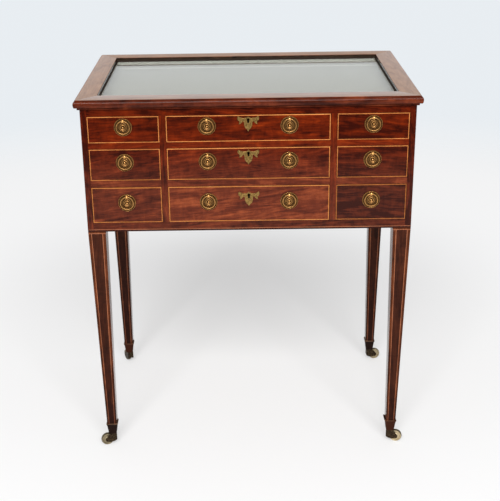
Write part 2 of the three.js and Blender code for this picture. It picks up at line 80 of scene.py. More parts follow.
# Softened edges, hairlines and the overrun of cutting shapes
EDGE = 0.0005
FINE_EDGE = 0.0002
HAIRLINE = 0.00006
CUT_OVERRUN = 0.002
SEAT_GAP = 0.0003

# Lid rails
RAIL_WIDTH = 0.042
QUIRK_INSET = 0.0042
QUIRK_DEPTH = 0.0023
THUMB_WAIST_DROP = 0.0082
THUMB_FOOT_INSET = 0.0028
THUMB_HEIGHT = 0.015
COVE_INSET = 0.0066
INNER_EDGE = 0.0008
GLASS_BITE = 0.007
GLASS_PLAY = 0.0005
WAX_SIZE = 0.004
FRONT_CORNER_RADIUS = 0.002
BACK_CORNER_RADIUS = 0.009

# Carcase front
LIPPING = 0.006
STRING_WIDTH = 0.0014
EDGE_STRIP_HEIGHT = 0.0035
CARCASE_STRING_WIDTH = 0.0012
PARTITION_WIDTH = 0.0125
DRAWER_RUN_GAP = 0.0004
DRAWER_TOP_GAP = 0.0009
DRAWER_SIDE_GAP = 0.0006

# Drawers
DRAWER_FRONT = 0.014
DRAWER_WALL = 0.007
DRAWER_BOTTOM = 0.006
DRAWER_SIDE_DROP = 0.002
DRAWER_BACK_DROP = 0.008
STRING_DEPTH = 0.0015
TAIL_LENGTH = 0.0095
TAIL_PITCH = 0.022
TAIL_SLOPE_SHARE = 0.16
KEYHOLE_DEPTH = 0.009

# Hinges
HINGE_BARREL = 0.003
HINGE_LEAF = 0.0015
HINGE_PIN = 0.0011
HINGE_STANDOFF = 0.0035
HINGE_KNUCKLES = 5
SCREW_RADIUS = 0.0026
SCREW_SPREAD = 0.016
SCREW_PROUD = 0.00008
SCREW_SLOT = 0.0006
HINGE_TARNISH = 0.4

# Handles
PLATE_RADIUS = 0.0175
RING_RADIUS = 0.0125
RING_WIRE = 0.0015
BALL_RADIUS = 0.0035
BALL_STANDOFF = 0.0036
EYE_RADIUS = 0.0021
# How sharply the ring's front is kept bright, as rubbed brass and as a painted highlight
RUBBED_HIGHLIGHT_SHARPNESS = 12

# Lock plates, whose outline is about the keyhole
LOCK_PLATE_HALF = 0.021
LOCK_PLATE_HEIGHT = 0.03
LOCK_PLATE_BEVEL = 0.0004
KEYHOLE_RADIUS = 0.0027
KEY_SLOT_HALF = 0.0017
KEY_SLOT_DROP = 0.0066
PIN_RADIUS = 0.0009

# Legs and cups
LEG_TOP = 0.035
LEG_FOOT = 0.0205
LEG_OUTER_TAPER = 0.01
LEG_STRING_WIDTH = 0.0014
LEG_STRING_INSET_TOP = 0.0056
LEG_STRING_INSET_FOOT = 0.0036
LEG_BAND_DROP = 0.0032
CUP_HEIGHT = 0.0255
CUP_SHOULDER = 0.0198
CUP_LIP = 0.002
CUP_FOOT_SIZE = 0.0166
CUP_SHOULDER_SIZE = 0.0214
CUP_LIP_SIZE = 0.0244
CUP_CORNER = 0.0022

# Casters, whose wheels turn on the rolling joints
WHEEL_RADIUS = JOINT_PLACES["caster_roll_front_left"].z
WHEEL_TOP_CLEARANCE = 0.0008
CUP_FOOT_Z = 2 * WHEEL_RADIUS + WHEEL_TOP_CLEARANCE
CUP_TOP_Z = CUP_FOOT_Z + CUP_HEIGHT
WHEEL_HALF = 0.0045
WHEEL_TREAD_HALF = 0.003
HUB_RADIUS = 0.0051
RIM_INNER = 0.0102
WHEEL_DISH = 0.0014
AXLE_RADIUS = 0.0016
AXLE_PLAY = 0.0004
HORN_BACK_REACH = 0.007
HORN_PLATE_REACH = 0.0044
HORN_PLATE = 0.0024
HORN_CHEEK = 0.002
HORN_GAP = 0.0005
HORN_EYE = 0.0052
HORN_FOOT_Z = 0.0119
HORN_LOWEST_Z = 0.0074
STEM_RADIUS = 0.0029

# Facets of round pieces and steps of their curves
FACETS = 48
FINE_FACETS = 64
FLOOR_FACETS = 96
ARC_STEPS = 8
CORNER_STEPS = 4
EYE_STEPS = 14
ROUND_STEPS = 16
KEYHOLE_STEPS = 20

# How edges are eased, from which angle in degrees, and up to which angle faces count as flat
EASED = {"segments": 2, "profile": 0.6, "affect": "EDGES"}
SOFTENED_ANGLE = 30
FLAT_ANGLE = 1


# Materials

# Each pattern in wood: its length along and across the grain, detail, roughness and distortion
BROAD_FIGURE = ((0.085, 0.017), 4, 0.55, 1.2)
STREAKS = ((0.05, 0.0032), 4, 0.6, 0.6)
MOTTLE = ((0.011, 0.022), 3, 0.6, 0.5)
PORES = ((0.006, 0.00035), 2, 0.5, 0)
FIGURE_SHARES = (0.5, 0.32, 0.18)
FIGURE_SPREAD = 2.8
MIDDLE_TONE = 0.5
TONE_STOPS = (0.05, MIDDLE_TONE, 0.95)
FADED_STOPS = (0.1, 0.9)
PORE_STOPS = (0.58, 0.72)
PORE_SHARE = 0.5
PORE_COLOUR_SHARE = 0.3
STREAK_RELIEF_SHARE = 0.35
GRAIN_TILT = 0.24
BOARD_SHIFT = (3.1, 5.7, 4.3)

# How far up a face looks where it starts and ends to be faded, and where it counts as level
UPWARD_STEPS = (0.8, 0.98)
LEVEL_NORMAL = 0.9995

# What every polish shares, and how rough wood is by its mottle
POLISH = {"Coat_Roughness": 0.08, "Coat_IOR": 1.5, "Specular_IOR_Level": 0.04}
WOOD_ROUGHNESS = ((0.3, 0.36), (0.7, 0.48))

# Patterns in brass, cloth, wax and glass: their scale, detail, roughness and distortion
TARNISH_PATCHES = (420, 4, 0.6, 0.4)
SPECKS = (2600, 2, 0.6)
NAP = (1500, 3, 0.7)
BRUSHED_NAP = (9, 3, 0.6, 0.8)
CRUMBS = (900, 3)
GLASS_WAVES = (6, 1)
PATCH_STOPS = (0.4, 0.6)
TARNISH_ROUGHNESS = 0.22
SPECK_ROUGHNESS = 0.1
WORN_NAP_SHARE = 0.35
CLOTH_STOPS = (0.3, 0.7)

# How strongly and how deep each surface is bumped
WOOD_RELIEF = (0.2, 0.0001)
METAL_RELIEF = (0.15, 0.0001)
GLASS_RELIEF = (0.05, 0.0001)
WAX_RELIEF = (0.3, 0.0001)
NAP_RELIEF = (0.5, 0.0004)

# Colours of each wood: dark, middle and light figure, and what warms it
MAHOGANY_COLOURS = ((0.03, 0.0045, 0.0018), (0.12, 0.021, 0.0075), (0.28, 0.06, 0.019),
                    (1.05, 0.55, 0.12))
DARK_MAHOGANY_COLOURS = ((0.018, 0.005, 0.003), (0.05, 0.013, 0.006), (0.1, 0.027, 0.012),
                         (1.0, 0.8, 0.7))
# The reveals round the pane are dark as painted shade
SHADED_REVEAL_COLOURS = ((0.012, 0.007, 0.004), (0.032, 0.018, 0.009), (0.06, 0.036, 0.018), (1.0, 1.0, 1.0))
PLAIN_COLOURS = ((0.1, 0.045, 0.022), (0.19, 0.095, 0.046), (0.29, 0.155, 0.085), (1.0, 0.95, 0.9))
LEG_MAHOGANY_COLOURS = ((0.03, 0.008, 0.003), (0.095, 0.024, 0.008), (0.18, 0.046, 0.015),
                        (1.0, 1.0, 1.0))
BOXWOOD_COLOURS = ((0.3, 0.09, 0.018), (0.52, 0.185, 0.04), (0.68, 0.29, 0.085), (1.4, 1.5, 1.9))
DULL_BOXWOOD_COLOURS = ((0.14, 0.04, 0.018), (0.33, 0.11, 0.048), (0.48, 0.19, 0.09), (1.0, 0.95, 0.9))

# Colours of the lid's faded top, the lining, the pale paper that is painted light, the wax that is also
# painted shade, and glass, from dark to light
LID_FADED = ((0.25, 0.125, 0.075), (0.45, 0.245, 0.15))
LINING_COLOURS = ((0.19, 0.173, 0.14), (0.235, 0.212, 0.172), (0.275, 0.247, 0.202))
PAINTED_LIGHT_PAPER_COLOURS = ((0.68, 0.65, 0.58), (0.8, 0.77, 0.7), (0.85, 0.82, 0.75))
WAX_AND_SHADE_COLOURS = ((0.012, 0.007, 0.005), (0.03, 0.018, 0.012))
GLASS_COLOUR = (0.97, 0.99, 0.985)
LIT_GLASS_COLOUR = (0.93, 0.96, 0.95)

# Each brass: its bright and toned colours, roughness, least share of tarnish and metallic share
BRASSES = {
    "brass": ((0.71, 0.37, 0.115), (0.05, 0.013, 0.002), 0.16, 0.85, 0.85),
    "lock_brass": ((0.44, 0.265, 0.08), (0.05, 0.03, 0.008), 0.28, 0.25, 0.9),
    "horn_brass": ((0.2, 0.14, 0.08), (0.014, 0.009, 0.006), 0.24, 0.6, 1),
    "wheel_brass": ((0.8, 0.66, 0.42), (0.04, 0.032, 0.02), 0.3, 0.75, 1),
    "dark_cup_brass": ((0.26, 0.15, 0.09), (0.02, 0.01, 0.008), 0.3, 0.97, 1),
    "red_cup_brass": ((0.17, 0.085, 0.05), (0.06, 0.018, 0.01), 0.3, 0.95, 1),
}


def set_input(tree, socket, value):
    """Links a socket to another one, or sets its value."""
    if isinstance(value, bpy.types.NodeSocket):
        tree.links.new(value, socket)
    elif socket.type == "RGBA" and len(value) == 3:
        socket.default_value = (*value, 1)
    else:
        socket.default_value = value


def add_node(tree, kind, inputs=None, **settings):
    """One shader node, its settings, and its inputs as values or as sockets to link."""
    made = tree.nodes.new("ShaderNode" + kind)
    for key, value in settings.items():
        setattr(made, key, value)
    for key, value in (inputs or {}).items():
        set_input(tree, made.inputs[key], value)
    return made


def dress(tree, shader, **values):
    """Gives a shader's sockets their values or links, by the sockets' names."""
    for key, value in values.items():
        set_input(tree, shader.inputs[key.replace("_", " ")], value)


def new_material(name, **values):
    """A material with its Principled shader, whose uniform values are set on its own sockets."""
    material = bpy.data.materials.new(name)
    material.use_nodes = True
    tree = material.node_tree
    shader = tree.nodes["Principled BSDF"]
    dress(tree, shader, **values)
    return material, tree, shader


def ramp(tree, factor, *stops):
    """A colour ramp; each stop is a place and a colour or a grey."""
    made = add_node(tree, "ValToRGB", {"Fac": factor})
    elements = made.color_ramp.elements
    while len(elements) < len(stops):
        elements.new(1)
    for element, (place, colour) in zip(elements, stops):
        element.position = place
        grey = isinstance(colour, (int, float))
        element.color = (colour, colour, colour, 1) if grey else (*colour, 1)
    return made.outputs["Color"]


def mix_colour(tree, factor, under, over, blend="MIX"):
    """Mixes two colours."""
    made = add_node(tree, "Mix", {0: factor, 6: under, 7: over}, data_type="RGBA", blend_type=blend)
    return made.outputs[2]


def maths(tree, operation, first, second=0.0):
    """A Math node's result."""
    return add_node(tree, "Math", {0: first, 1: second}, operation=operation).outputs[0]


def smooth_step(tree, value, start, end):
    """Rises smoothly from 0 to 1 between two values."""
    inputs = {"Value": value, "From Min": start, "From Max": end}
    return add_node(tree, "MapRange", inputs, interpolation_type="SMOOTHSTEP").outputs["Result"]


def weighted_sum(tree, *terms):
    """The sum of patterns, each times its share."""
    total = None
    for pattern, share in terms:
        term = maths(tree, "MULTIPLY", pattern, share)
        total = term if total is None else maths(tree, "ADD", total, term)
    return total


def object_place(tree):
    """Coordinates that are fixed to the object."""
    return add_node(tree, "TexCoord").outputs["Object"]


def noise(tree, scale, detail, roughness=0.5, distortion=0, place=None):
    """A noise pattern, which keeps to the object where it has no other place."""
    inputs = {"Vector": object_place(tree) if place is None else place, "Scale": scale,
              "Detail": detail, "Roughness": roughness, "Distortion": distortion}
    return add_node(tree, "TexNoise", inputs).outputs["Fac"]


def attribute(tree, name):
    """A number stored on the mesh."""
    return add_node(tree, "Attribute", attribute_name=name).outputs["Fac"]


def bump(tree, height, strength, distance):
    """A bumped normal."""
    inputs = {"Height": height, "Strength": strength, "Distance": distance}
    return add_node(tree, "Bump", inputs).outputs["Normal"]


def grain_noise(tree, grain, size, *pattern):
    """A noise pattern drawn out along the grain, and shifted and tilted for each board."""
    along, across = size
    axis = (1, 0, 0) if grain == "y" else (0, 1, 0)
    off_middle = maths(tree, "SUBTRACT", attribute(tree, "board"), MIDDLE_TONE)
    tilt = maths(tree, "MULTIPLY", off_middle, GRAIN_TILT)
    shift = add_node(tree, "VectorMath", {0: BOARD_SHIFT, "Scale": attribute(tree, "board")},
                     operation="SCALE").outputs[0]
    moved = add_node(tree, "VectorMath", {0: object_place(tree), 1: shift}, operation="ADD").outputs[0]
    tilted = add_node(tree, "VectorRotate", {"Vector": moved, "Axis": axis, "Angle": tilt}).outputs[0]
    stretch = [1 / across] * 3
    stretch["xyz".index(grain)] = 1 / along
    place = add_node(tree, "VectorMath", {0: tilted, 1: stretch}, operation="MULTIPLY").outputs[0]
    return noise(tree, 1, *pattern, place=place)


def wood(name, grain, colours, polish, figure=1, faded=None):
    """Polished wood: broad figure, streaks, short dark pores and a cross-grain mottle. The warmth
    stored on the mesh reddens it, and faces that look up can be faded."""
    *figure_colours, warm = colours
    material, tree, shader = new_material(name, Coat_Weight=polish, **POLISH)
    broad, streaks, mottle, pores = (grain_noise(tree, grain, *pattern)
                                     for pattern in (BROAD_FIGURE, STREAKS, MOTTLE, PORES))
    pattern = weighted_sum(tree, *zip((broad, streaks, mottle), FIGURE_SHARES))
    off_middle = maths(tree, "SUBTRACT", pattern, MIDDLE_TONE)
    spread = maths(tree, "MULTIPLY", off_middle, FIGURE_SPREAD * figure)
    tone = maths(tree, "ADD", maths(tree, "ADD", spread, MIDDLE_TONE), attribute(tree, "tone"))
    colour = ramp(tree, tone, *zip(TONE_STOPS, figure_colours))
    warmed = mix_colour(tree, 1, colour, warm, "MULTIPLY")
    colour = mix_colour(tree, attribute(tree, "warmth"), colour, warmed)
    pore_mask = ramp(tree, pores, *zip(PORE_STOPS, (0, 1)))
    pore_colour = tuple(PORE_COLOUR_SHARE * channel for channel in figure_colours[0])
    colour = mix_colour(tree, maths(tree, "MULTIPLY", pore_mask, PORE_SHARE), colour, pore_colour)
    if faded:
        normal = add_node(tree, "NewGeometry").outputs["Normal"]
        upward = smooth_step(tree, add_node(tree, "SeparateXYZ", {0: normal}).outputs["Z"], *UPWARD_STEPS)
        colour = mix_colour(tree, upward, colour, ramp(tree, tone, *zip(FADED_STOPS, faded)))
    relief = maths(tree, "SUBTRACT", maths(tree, "MULTIPLY", streaks, STREAK_RELIEF_SHARE), pore_mask)
    dress(tree, shader, Base_Color=colour, Roughness=ramp(tree, mottle, *WOOD_ROUGHNESS),
          Normal=bump(tree, relief, *WOOD_RELIEF))
    return material


def woods(name, grains, *settings, **looks):
    """The same wood with its grain along each of several axes."""
    return {grain: wood(f"{name}_{grain}", grain, *settings, **looks) for grain in grains}


def aged_metal(name, bright, toned, roughness, least_share, metallic):
    """Brass with tarnish in its hollows, where patches keep only the least share of it."""
    material, tree, shader = new_material(name, Metallic=metallic)
    patches = noise(tree, *TARNISH_PATCHES)
    specks = noise(tree, *SPECKS)
    mask = ramp(tree, patches, *zip(PATCH_STOPS, (least_share, 1)))
    tarnish = maths(tree, "MULTIPLY", mask, attribute(tree, "hollow"))
    dulled = weighted_sum(tree, (tarnish, TARNISH_ROUGHNESS), (specks, SPECK_ROUGHNESS))
    dress(tree, shader, Base_Color=mix_colour(tree, tarnish, bright, toned),
          Roughness=maths(tree, "ADD", dulled, roughness), Normal=bump(tree, specks, *METAL_RELIEF))
    return material


def show(tree, shader):
    """Makes a shader the one that is seen."""
    tree.links.new(shader.outputs[0], tree.nodes["Material Output"].inputs["Surface"])


def clear_glass():
    """A clear pane that lets lamp light through to the lining."""
    material, tree, shader = new_material("glass", Base_Color=GLASS_COLOUR, Roughness=0, IOR=1.5,
                                          Transmission_Weight=1)
    dress(tree, shader, Normal=bump(tree, noise(tree, *GLASS_WAVES), *GLASS_RELIEF))
    clear = add_node(tree, "BsdfTransparent", {"Color": LIT_GLASS_COLOUR})
    rays = add_node(tree, "LightPath")
    lit = maths(tree, "MAXIMUM", rays.outputs["Is Shadow Ray"], rays.outputs["Is Diffuse Ray"])
    show(tree, add_node(tree, "MixShader", {0: lit, 1: shader.outputs[0], 2: clear.outputs[0]}))
    return material


def lining_cloth(name, colours, sheen):
    """Short-napped cloth glued to the wood, or pale paper that paints light onto faces in shade."""
    worn, *clean = colours
    material, tree, shader = new_material(name, Roughness=0.95, Sheen_Weight=sheen, Sheen_Roughness=0.5)
    nap = noise(tree, *NAP)
    colour = ramp(tree, noise(tree, *BRUSHED_NAP), *zip(CLOTH_STOPS, clean))
    colour = mix_colour(tree, maths(tree, "MULTIPLY", nap, WORN_NAP_SHARE), colour, worn)
    dress(tree, shader, Base_Color=colour, Normal=bump(tree, nap, *NAP_RELIEF))
    return material


def old_wax_and_shade():
    """Old dark wax and dirt round the pane, whose dark colour also paints shade in the joint there and
    inside the keyholes.
    """
    material, tree, shader = new_material("dark_wax_and_shade", Roughness=0.7, Specular_IOR_Level=0.1)
    crumbs = noise(tree, *CRUMBS)
    dress(tree, shader, Base_Color=ramp(tree, crumbs, *zip(CLOTH_STOPS, WAX_AND_SHADE_COLOURS)),
          Normal=bump(tree, crumbs, *WAX_RELIEF))
    return material


MAHOGANY = woods("mahogany", "xyz", MAHOGANY_COLOURS, polish=0.15)
LID_MAHOGANY = woods("lid_mahogany", "xy", MAHOGANY_COLOURS, polish=0.75, faded=LID_FADED)
DARK_MAHOGANY = wood("dark_mahogany", "z", DARK_MAHOGANY_COLOURS, polish=0.04, figure=0.8)
POLISHED_MAHOGANY = wood("polished_mahogany", "z", LEG_MAHOGANY_COLOURS, polish=1)
LEG_MAHOGANY = wood("leg_mahogany", "z", LEG_MAHOGANY_COLOURS, polish=0.05)
SHADED_REVEAL_WOOD = woods("shaded_reveal_wood", "xy", SHADED_REVEAL_COLOURS, polish=0.9, figure=0.8)
PLAIN_WOOD = woods("plain_wood", "xyz", PLAIN_COLOURS, polish=0, figure=0.6)
BOXWOOD = wood("boxwood", "x", BOXWOOD_COLOURS, polish=0.3, figure=0.6)
DULL_BOXWOOD = woods("dull_boxwood", "xz", DULL_BOXWOOD_COLOURS, polish=0.3, figure=0.8)
BRASS, LOCK_BRASS, HORN_BRASS, WHEEL_BRASS, DARK_CUP_BRASS, RED_CUP_BRASS = (
    aged_metal(name, *settings) for name, settings in BRASSES.items()
)
CUP_BRASS = {"front_left": DARK_CUP_BRASS, "front_right": RED_CUP_BRASS, "back_left": RED_CUP_BRASS,
             "back_right": DARK_CUP_BRASS}
GLASS = clear_glass()
LINING = lining_cloth("lining", LINING_COLOURS, sheen=0.3)
# Pale paper that paints light onto shaded faces under the pane
PAINTED_LIGHT_PAPER = lining_cloth("painted_light_paper", PAINTED_LIGHT_PAPER_COLOURS, sheen=0)
DARK_WAX_AND_SHADE = old_wax_and_shade()


# Mesh helpers

GOLDEN_SHARE = 0.618034
boards_so_far = 0


def next_board():
    """A new number from 0 to 1 for each board, so that no two show the same grain."""
    global boards_so_far
    boards_so_far += 1
    return boards_so_far * GOLDEN_SHARE % 1


def new_shape():
    """An empty bmesh whose vertices carry a board number, a tone, a warmth and a depth of tarnish."""
    shape = bmesh.new()
    for name in ("board", "tone", "warmth", "hollow"):
        shape.verts.layers.float.new(name)
    return shape


def set_layer(shape, name, value, verts=None):
    """Stores a number, or a function of the vertex, on vertices."""
    layer = shape.verts.layers.float[name]
    for vert in shape.verts if verts is None else verts:
        vert[layer] = value(vert) if callable(value) else value


def finish_board(shape, old_faces, material_index):
    """Gives the faces that are new a material index, and their vertices a board number."""
    faces = [face for face in shape.faces if face not in old_faces]
    for face in faces:
        face.material_index = material_index
    set_layer(shape, "board", next_board(), {vert for face in faces for vert in face.verts})


def box_place(low, high):
    """The matrix that turns a unit cube into a box."""
    low, high = Vector(low), Vector(high)
    return Matrix.Translation((low + high) / 2) @ Matrix.Diagonal((*(high - low), 1))


def add_board(shape, low, high, material_index=0, edge=EDGE):
    """A board with softened edges between two corners."""
    old = set(shape.faces)
    verts = bmesh.ops.create_cube(shape, size=1, matrix=box_place(low, high))["verts"]
    edges = dict.fromkeys(e for vert in verts for e in vert.link_edges)
    width = min(edge, min(Vector(high) - Vector(low)) / 3)
    bmesh.ops.bevel(shape, geom=list(edges), offset=width, **EASED)
    finish_board(shape, old, material_index)


def add_loft(shape, rings, slot_of=None, closed=False):
    """Joins rings of points; slot_of gives the material index for a span and a point."""
    old = set(shape.faces)
    made = [[shape.verts.new(point) for point in ring] for ring in rings]
    spans = list(zip(made, made[1:])) + ([(made[-1], made[0])] if closed else [])
    slots = {}
    for span, (near, far) in enumerate(spans):
        for point in range(len(near)):
            after = (point + 1) % len(near)
            face = shape.faces.new((near[point], near[after], far[after], far[point]))
            slots[face] = slot_of(span, point) if slot_of else 0
    if not closed:
        shape.faces.new(list(reversed(made[0])))
        shape.faces.new(made[-1])
    finish_board(shape, old, 0)
    for face, slot in slots.items():
        face.material_index = slot


def add_lathe(shape, profile, place, facets=FACETS, closed=False):
    """Revolves (radius, height, tarnish) points about Z and sets the result in place. Points on
    the axis close it, and a closed profile joins its last point to its first."""
    old = set(shape.faces)
    rows = []
    for radius, height, hollow in profile:
        row = []
        for step in range(facets if radius > 0 else 1):
            angle = 2 * math.pi * step / facets
            point = Vector((radius * math.cos(angle), radius * math.sin(angle), height))
            row.append(shape.verts.new(place @ point))
        set_layer(shape, "hollow", hollow, row)
        rows.append(row)
    for near, far in list(zip(rows, rows[1:])) + ([(rows[-1], rows[0])] if closed else []):
        for step in range(facets):
            after = (step + 1) % facets
            corners = (near[step % len(near)], near[after % len(near)], far[after % len(far)],
                       far[step % len(far)])
            unique = list(dict.fromkeys(corners))
            if len(unique) > 2:
                shape.faces.new(unique)
    finish_board(shape, old, 0)


def add_plate(shape, outline, thickness, place, bevel=0):
    """A flat plate: an outline in X and Z, with its thickness along Y and its rims eased."""
    old = set(shape.faces)
    face = shape.faces.new([shape.verts.new(place @ Vector((x, 0, z))) for x, z in outline])
    grown = bmesh.ops.extrude_face_region(shape, geom=[face])["geom"]
    moved = [item for item in grown if isinstance(item, bmesh.types.BMVert)]
    bmesh.ops.translate(shape, verts=moved, vec=place.to_3x3() @ Vector((0, thickness, 0)))
    if bevel:
        caps = [face] + [item for item in grown if isinstance(item, bmesh.types.BMFace)]
        rims = dict.fromkeys(e for cap in caps for e in cap.edges)
        bmesh.ops.bevel(shape, geom=list(rims), offset=bevel, segments=1, affect="EDGES")
    finish_board(shape, old, 0)


def arc(centre, radii, start, end, steps=ARC_STEPS):
    """Points of an ellipse's arc, both ends included, with its angles in degrees."""
    points = []
    for step in range(steps + 1):
        angle = math.radians(start + (end - start) * step / steps)
        points.append((centre[0] + radii[0] * math.cos(angle), centre[1] + radii[1] * math.sin(angle)))
    return points


def quadratic(start, bend, end):
    """Points of a quadratic curve after its start."""
    points = []
    for step in range(1, ARC_STEPS + 1):
        t = step / ARC_STEPS
        points.append(tuple((1 - t) ** 2 * a + 2 * t * (1 - t) * b + t * t * c
                            for a, b, c in zip(start, bend, end)))
    return points


def turned(axis, place=(0, 0, 0), quarters=1):
    """The matrix of a turn by right angles about an axis, and then of a move to a place."""
    return Matrix.Translation(place) @ Matrix.Rotation(quarters * math.pi / 2, 4, axis)


def reflected(profile):
    """The other half of a lathe profile, read back from its middle."""
    return [(radius, -height, hollow) for radius, height, hollow in reversed(profile)]


def on_side(side, near, far):
    """The left and right ends of what lies between two distances from the middle."""
    return sorted((side * near, side * far))


def parts_of(shape):
    """All of a bmesh's vertices, edges and faces."""
    return [*shape.verts, *shape.edges, *shape.faces]


def object_from(shape, name, materials, smooth_angle=None):
    """Makes the finished bmesh into an object."""
    bmesh.ops.recalc_face_normals(shape, faces=shape.faces)
    mesh = bpy.data.meshes.new(name)
    shape.to_mesh(mesh)
    shape.free()
    for material in materials:
        mesh.materials.append(material)
    if smooth_angle is not None:
        mesh.shade_smooth()
        mesh.set_sharp_from_angle(angle=math.radians(smooth_angle))
    made = bpy.data.objects.new(name, mesh)
    bpy.context.scene.collection.objects.link(made)
    return made


def cut(piece, cutter_shape):
    """Cuts a piece by a closed bmesh."""
    cutter = object_from(cutter_shape, "cutter", [])
    modifier = piece.modifiers.new("cut", "BOOLEAN")
    modifier.object = cutter
    modifier.solver = "EXACT"
    result = bpy.data.meshes.new_from_object(piece.evaluated_get(bpy.context.evaluated_depsgraph_get()))
    piece.modifiers.clear()
    piece.data = result
    bpy.data.objects.remove(cutter)


def fit(piece, body, slot, *nodes):
    """Fixes a piece to its body and hides the nodes that it stands for; its material slot is not used."""
    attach(piece, body)
    if nodes:
        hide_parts(*nodes)


def add_piece(shape, name, materials, body, slot, *nodes, smooth_angle=None):
    """Makes a finished bmesh into a piece and fixes it to its body."""
    fit(object_from(shape, name, materials, smooth_angle), body, slot, *nodes)


def copy_of_node(node, clip_front=None):
    """A bmesh of a CAD node with its flat faces whole, without what lies in front of a plane."""
    shape = new_shape()
    shape.from_mesh(frame["nodes"][node].data)
    bmesh.ops.remove_doubles(shape, verts=shape.verts, dist=HAIRLINE / 2)
    bmesh.ops.dissolve_limit(shape, angle_limit=math.radians(FLAT_ANGLE), verts=shape.verts,
                             edges=shape.edges)
    if clip_front is not None:
        made = bmesh.ops.bisect_plane(shape, geom=parts_of(shape), plane_co=(0, clip_front, 0),
                                      plane_no=(0, 1, 0), clear_inner=True)["geom_cut"]
        rims = [item for item in made if isinstance(item, bmesh.types.BMEdge)]
        bmesh.ops.edgeloop_fill(shape, edges=rims)
    finish_board(shape, set(), 0)
    return shape


def soften(shape):
    """Bevels the sharp edges of a bmesh."""
    least = math.radians(SOFTENED_ANGLE)
    sharp = [e for e in shape.edges if len(e.link_faces) == 2 and e.calc_face_angle(0) > least]
    bmesh.ops.bevel(shape, geom=sharp, offset=EDGE, clamp_overlap=True, **EASED)


# Lid

LID_HALF_WIDTH = (LID_HIGH.x - LID_LOW.x) / 2
LID_HALF_DEPTH = (LID_HIGH.y - LID_LOW.y) / 2
RAILS = {
    "front": ("x", (-1, -1), (1, -1)),
    "right": ("y", (1, -1), (1, 1)),
    "back": ("x", (1, 1), (-1, 1)),
    "left": ("y", (-1, 1), (-1, -1)),
}
WORN_STEPS = 3
LID_TONE = -0.12


def rail_section():
    """Distance in from the lid's edge, and height above its top face."""
    pane_top = GLASS_HIGH.z - LID_HIGH.z
    pane_bottom = GLASS_LOW.z - LID_HIGH.z
    underside = LID_LOW.z - LID_HIGH.z
    groove = RAIL_WIDTH - GLASS_BITE - GLASS_PLAY
    return [
        (COVE_INSET, underside),
        (RAIL_WIDTH - EDGE, underside),
        (RAIL_WIDTH, underside + EDGE),
        (RAIL_WIDTH, pane_bottom),
        (groove, pane_bottom),
        (groove, pane_top + SEAT_GAP),
        (RAIL_WIDTH, pane_top + SEAT_GAP),
        *arc((RAIL_WIDTH - INNER_EDGE, -INNER_EDGE), (INNER_EDGE, INNER_EDGE), 0, 90, CORNER_STEPS),
        (QUIRK_INSET + FINE_EDGE, 0),
        (QUIRK_INSET, -FINE_EDGE),
        (QUIRK_INSET, -QUIRK_DEPTH),
        *arc((QUIRK_INSET, -THUMB_WAIST_DROP), (QUIRK_INSET, THUMB_WAIST_DROP - QUIRK_DEPTH), 90, 180)[1:],
        *arc((THUMB_FOOT_INSET, -THUMB_WAIST_DROP), (THUMB_FOOT_INSET, THUMB_HEIGHT - THUMB_WAIST_DROP),
             180, 270)[1:],
        (COVE_INSET, -THUMB_HEIGHT),
    ]


def corner_rings(corner, along_x):
    """The section at a corner of the lid, from where its worn rounding starts to the mitre."""
    radius = FRONT_CORNER_RADIUS if corner[1] < 0 else BACK_CORNER_RADIUS
    rings = []
    for step in range(WORN_STEPS + 1):
        angle = math.radians(45) * step / WORN_STEPS
        short_of_mitre = HAIRLINE * (1 + WORN_STEPS - step)
        ring = []
        for inset, rise in rail_section():
            bend = max(radius - inset, 0)
            far = max(radius, inset) - bend * math.sin(angle) + short_of_mitre
            near = max(radius, inset) - bend * math.cos(angle)
            x_inset, y_inset = (far, near) if along_x else (near, far)
            ring.append((corner[0] * (LID_HALF_WIDTH - x_inset), corner[1] * (LID_HALF_DEPTH - y_inset),
                         LID_HIGH.z + rise))
        rings.append(ring)
    return rings


def rail_slot(section, point):
    """The material slot of the section's side after a point: faded on top, darkened round the pane as
    painted shade, and given pale paper below it as painted light."""
    inset, rise = section[point]
    if inset > QUIRK_INSET and rise > -FINE_EDGE:
        return 1
    if inset == section[(point + 1) % len(section)][0] == RAIL_WIDTH:
        return 2 if rise > GLASS_LOW.z - LID_HIGH.z else 3
    return 0


def lid_rail(name):
    """One mitred rail, a hairline short of its neighbours at the mitres."""
    grain, start, end = RAILS[name]
    rings = list(reversed(corner_rings(start, grain == "x"))) + corner_rings(end, grain == "x")
    section = rail_section()
    shape = new_shape()
    add_loft(shape, rings, lambda span, point: rail_slot(section, point))
    set_layer(shape, "tone", LID_TONE)
    materials = [MAHOGANY[grain], LID_MAHOGANY[grain], SHADED_REVEAL_WOOD[grain], PAINTED_LIGHT_PAPER]
    return object_from(shape, "lid_rail_" + name, materials, smooth_angle=40)


def seat_cutters():
    """The hollows in the lid for the hinges' leaves, and then for their barrels."""
    axis_z = JOINT_PLACES["lid_lift"].z
    past_edge = LID_HIGH.y - QUIRK_INSET
    below = LID_LOW.z - CUT_OVERRUN
    leaf_top = axis_z + SEAT_GAP / 2 + HINGE_LEAF
    barrel_front = CARCASE_BACK + HINGE_STANDOFF - HINGE_BARREL - SEAT_GAP
    barrel_top = axis_z + HINGE_BARREL + SEAT_GAP
    cutters = []
    for leaf, back, top in ((True, past_edge, leaf_top), (False, past_edge + CUT_OVERRUN, barrel_top)):
        cutter = bmesh.new()
        for side in SIDES:
            low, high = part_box("hinge_leaf_lid_" + side)
            front = low.y - HAIRLINE if leaf else barrel_front
            seat = box_place((low.x - SEAT_GAP, front, below), (high.x + SEAT_GAP, back, top))
            bmesh.ops.create_cube(cutter, size=1, matrix=seat)
        cutters.append(cutter)
    return cutters


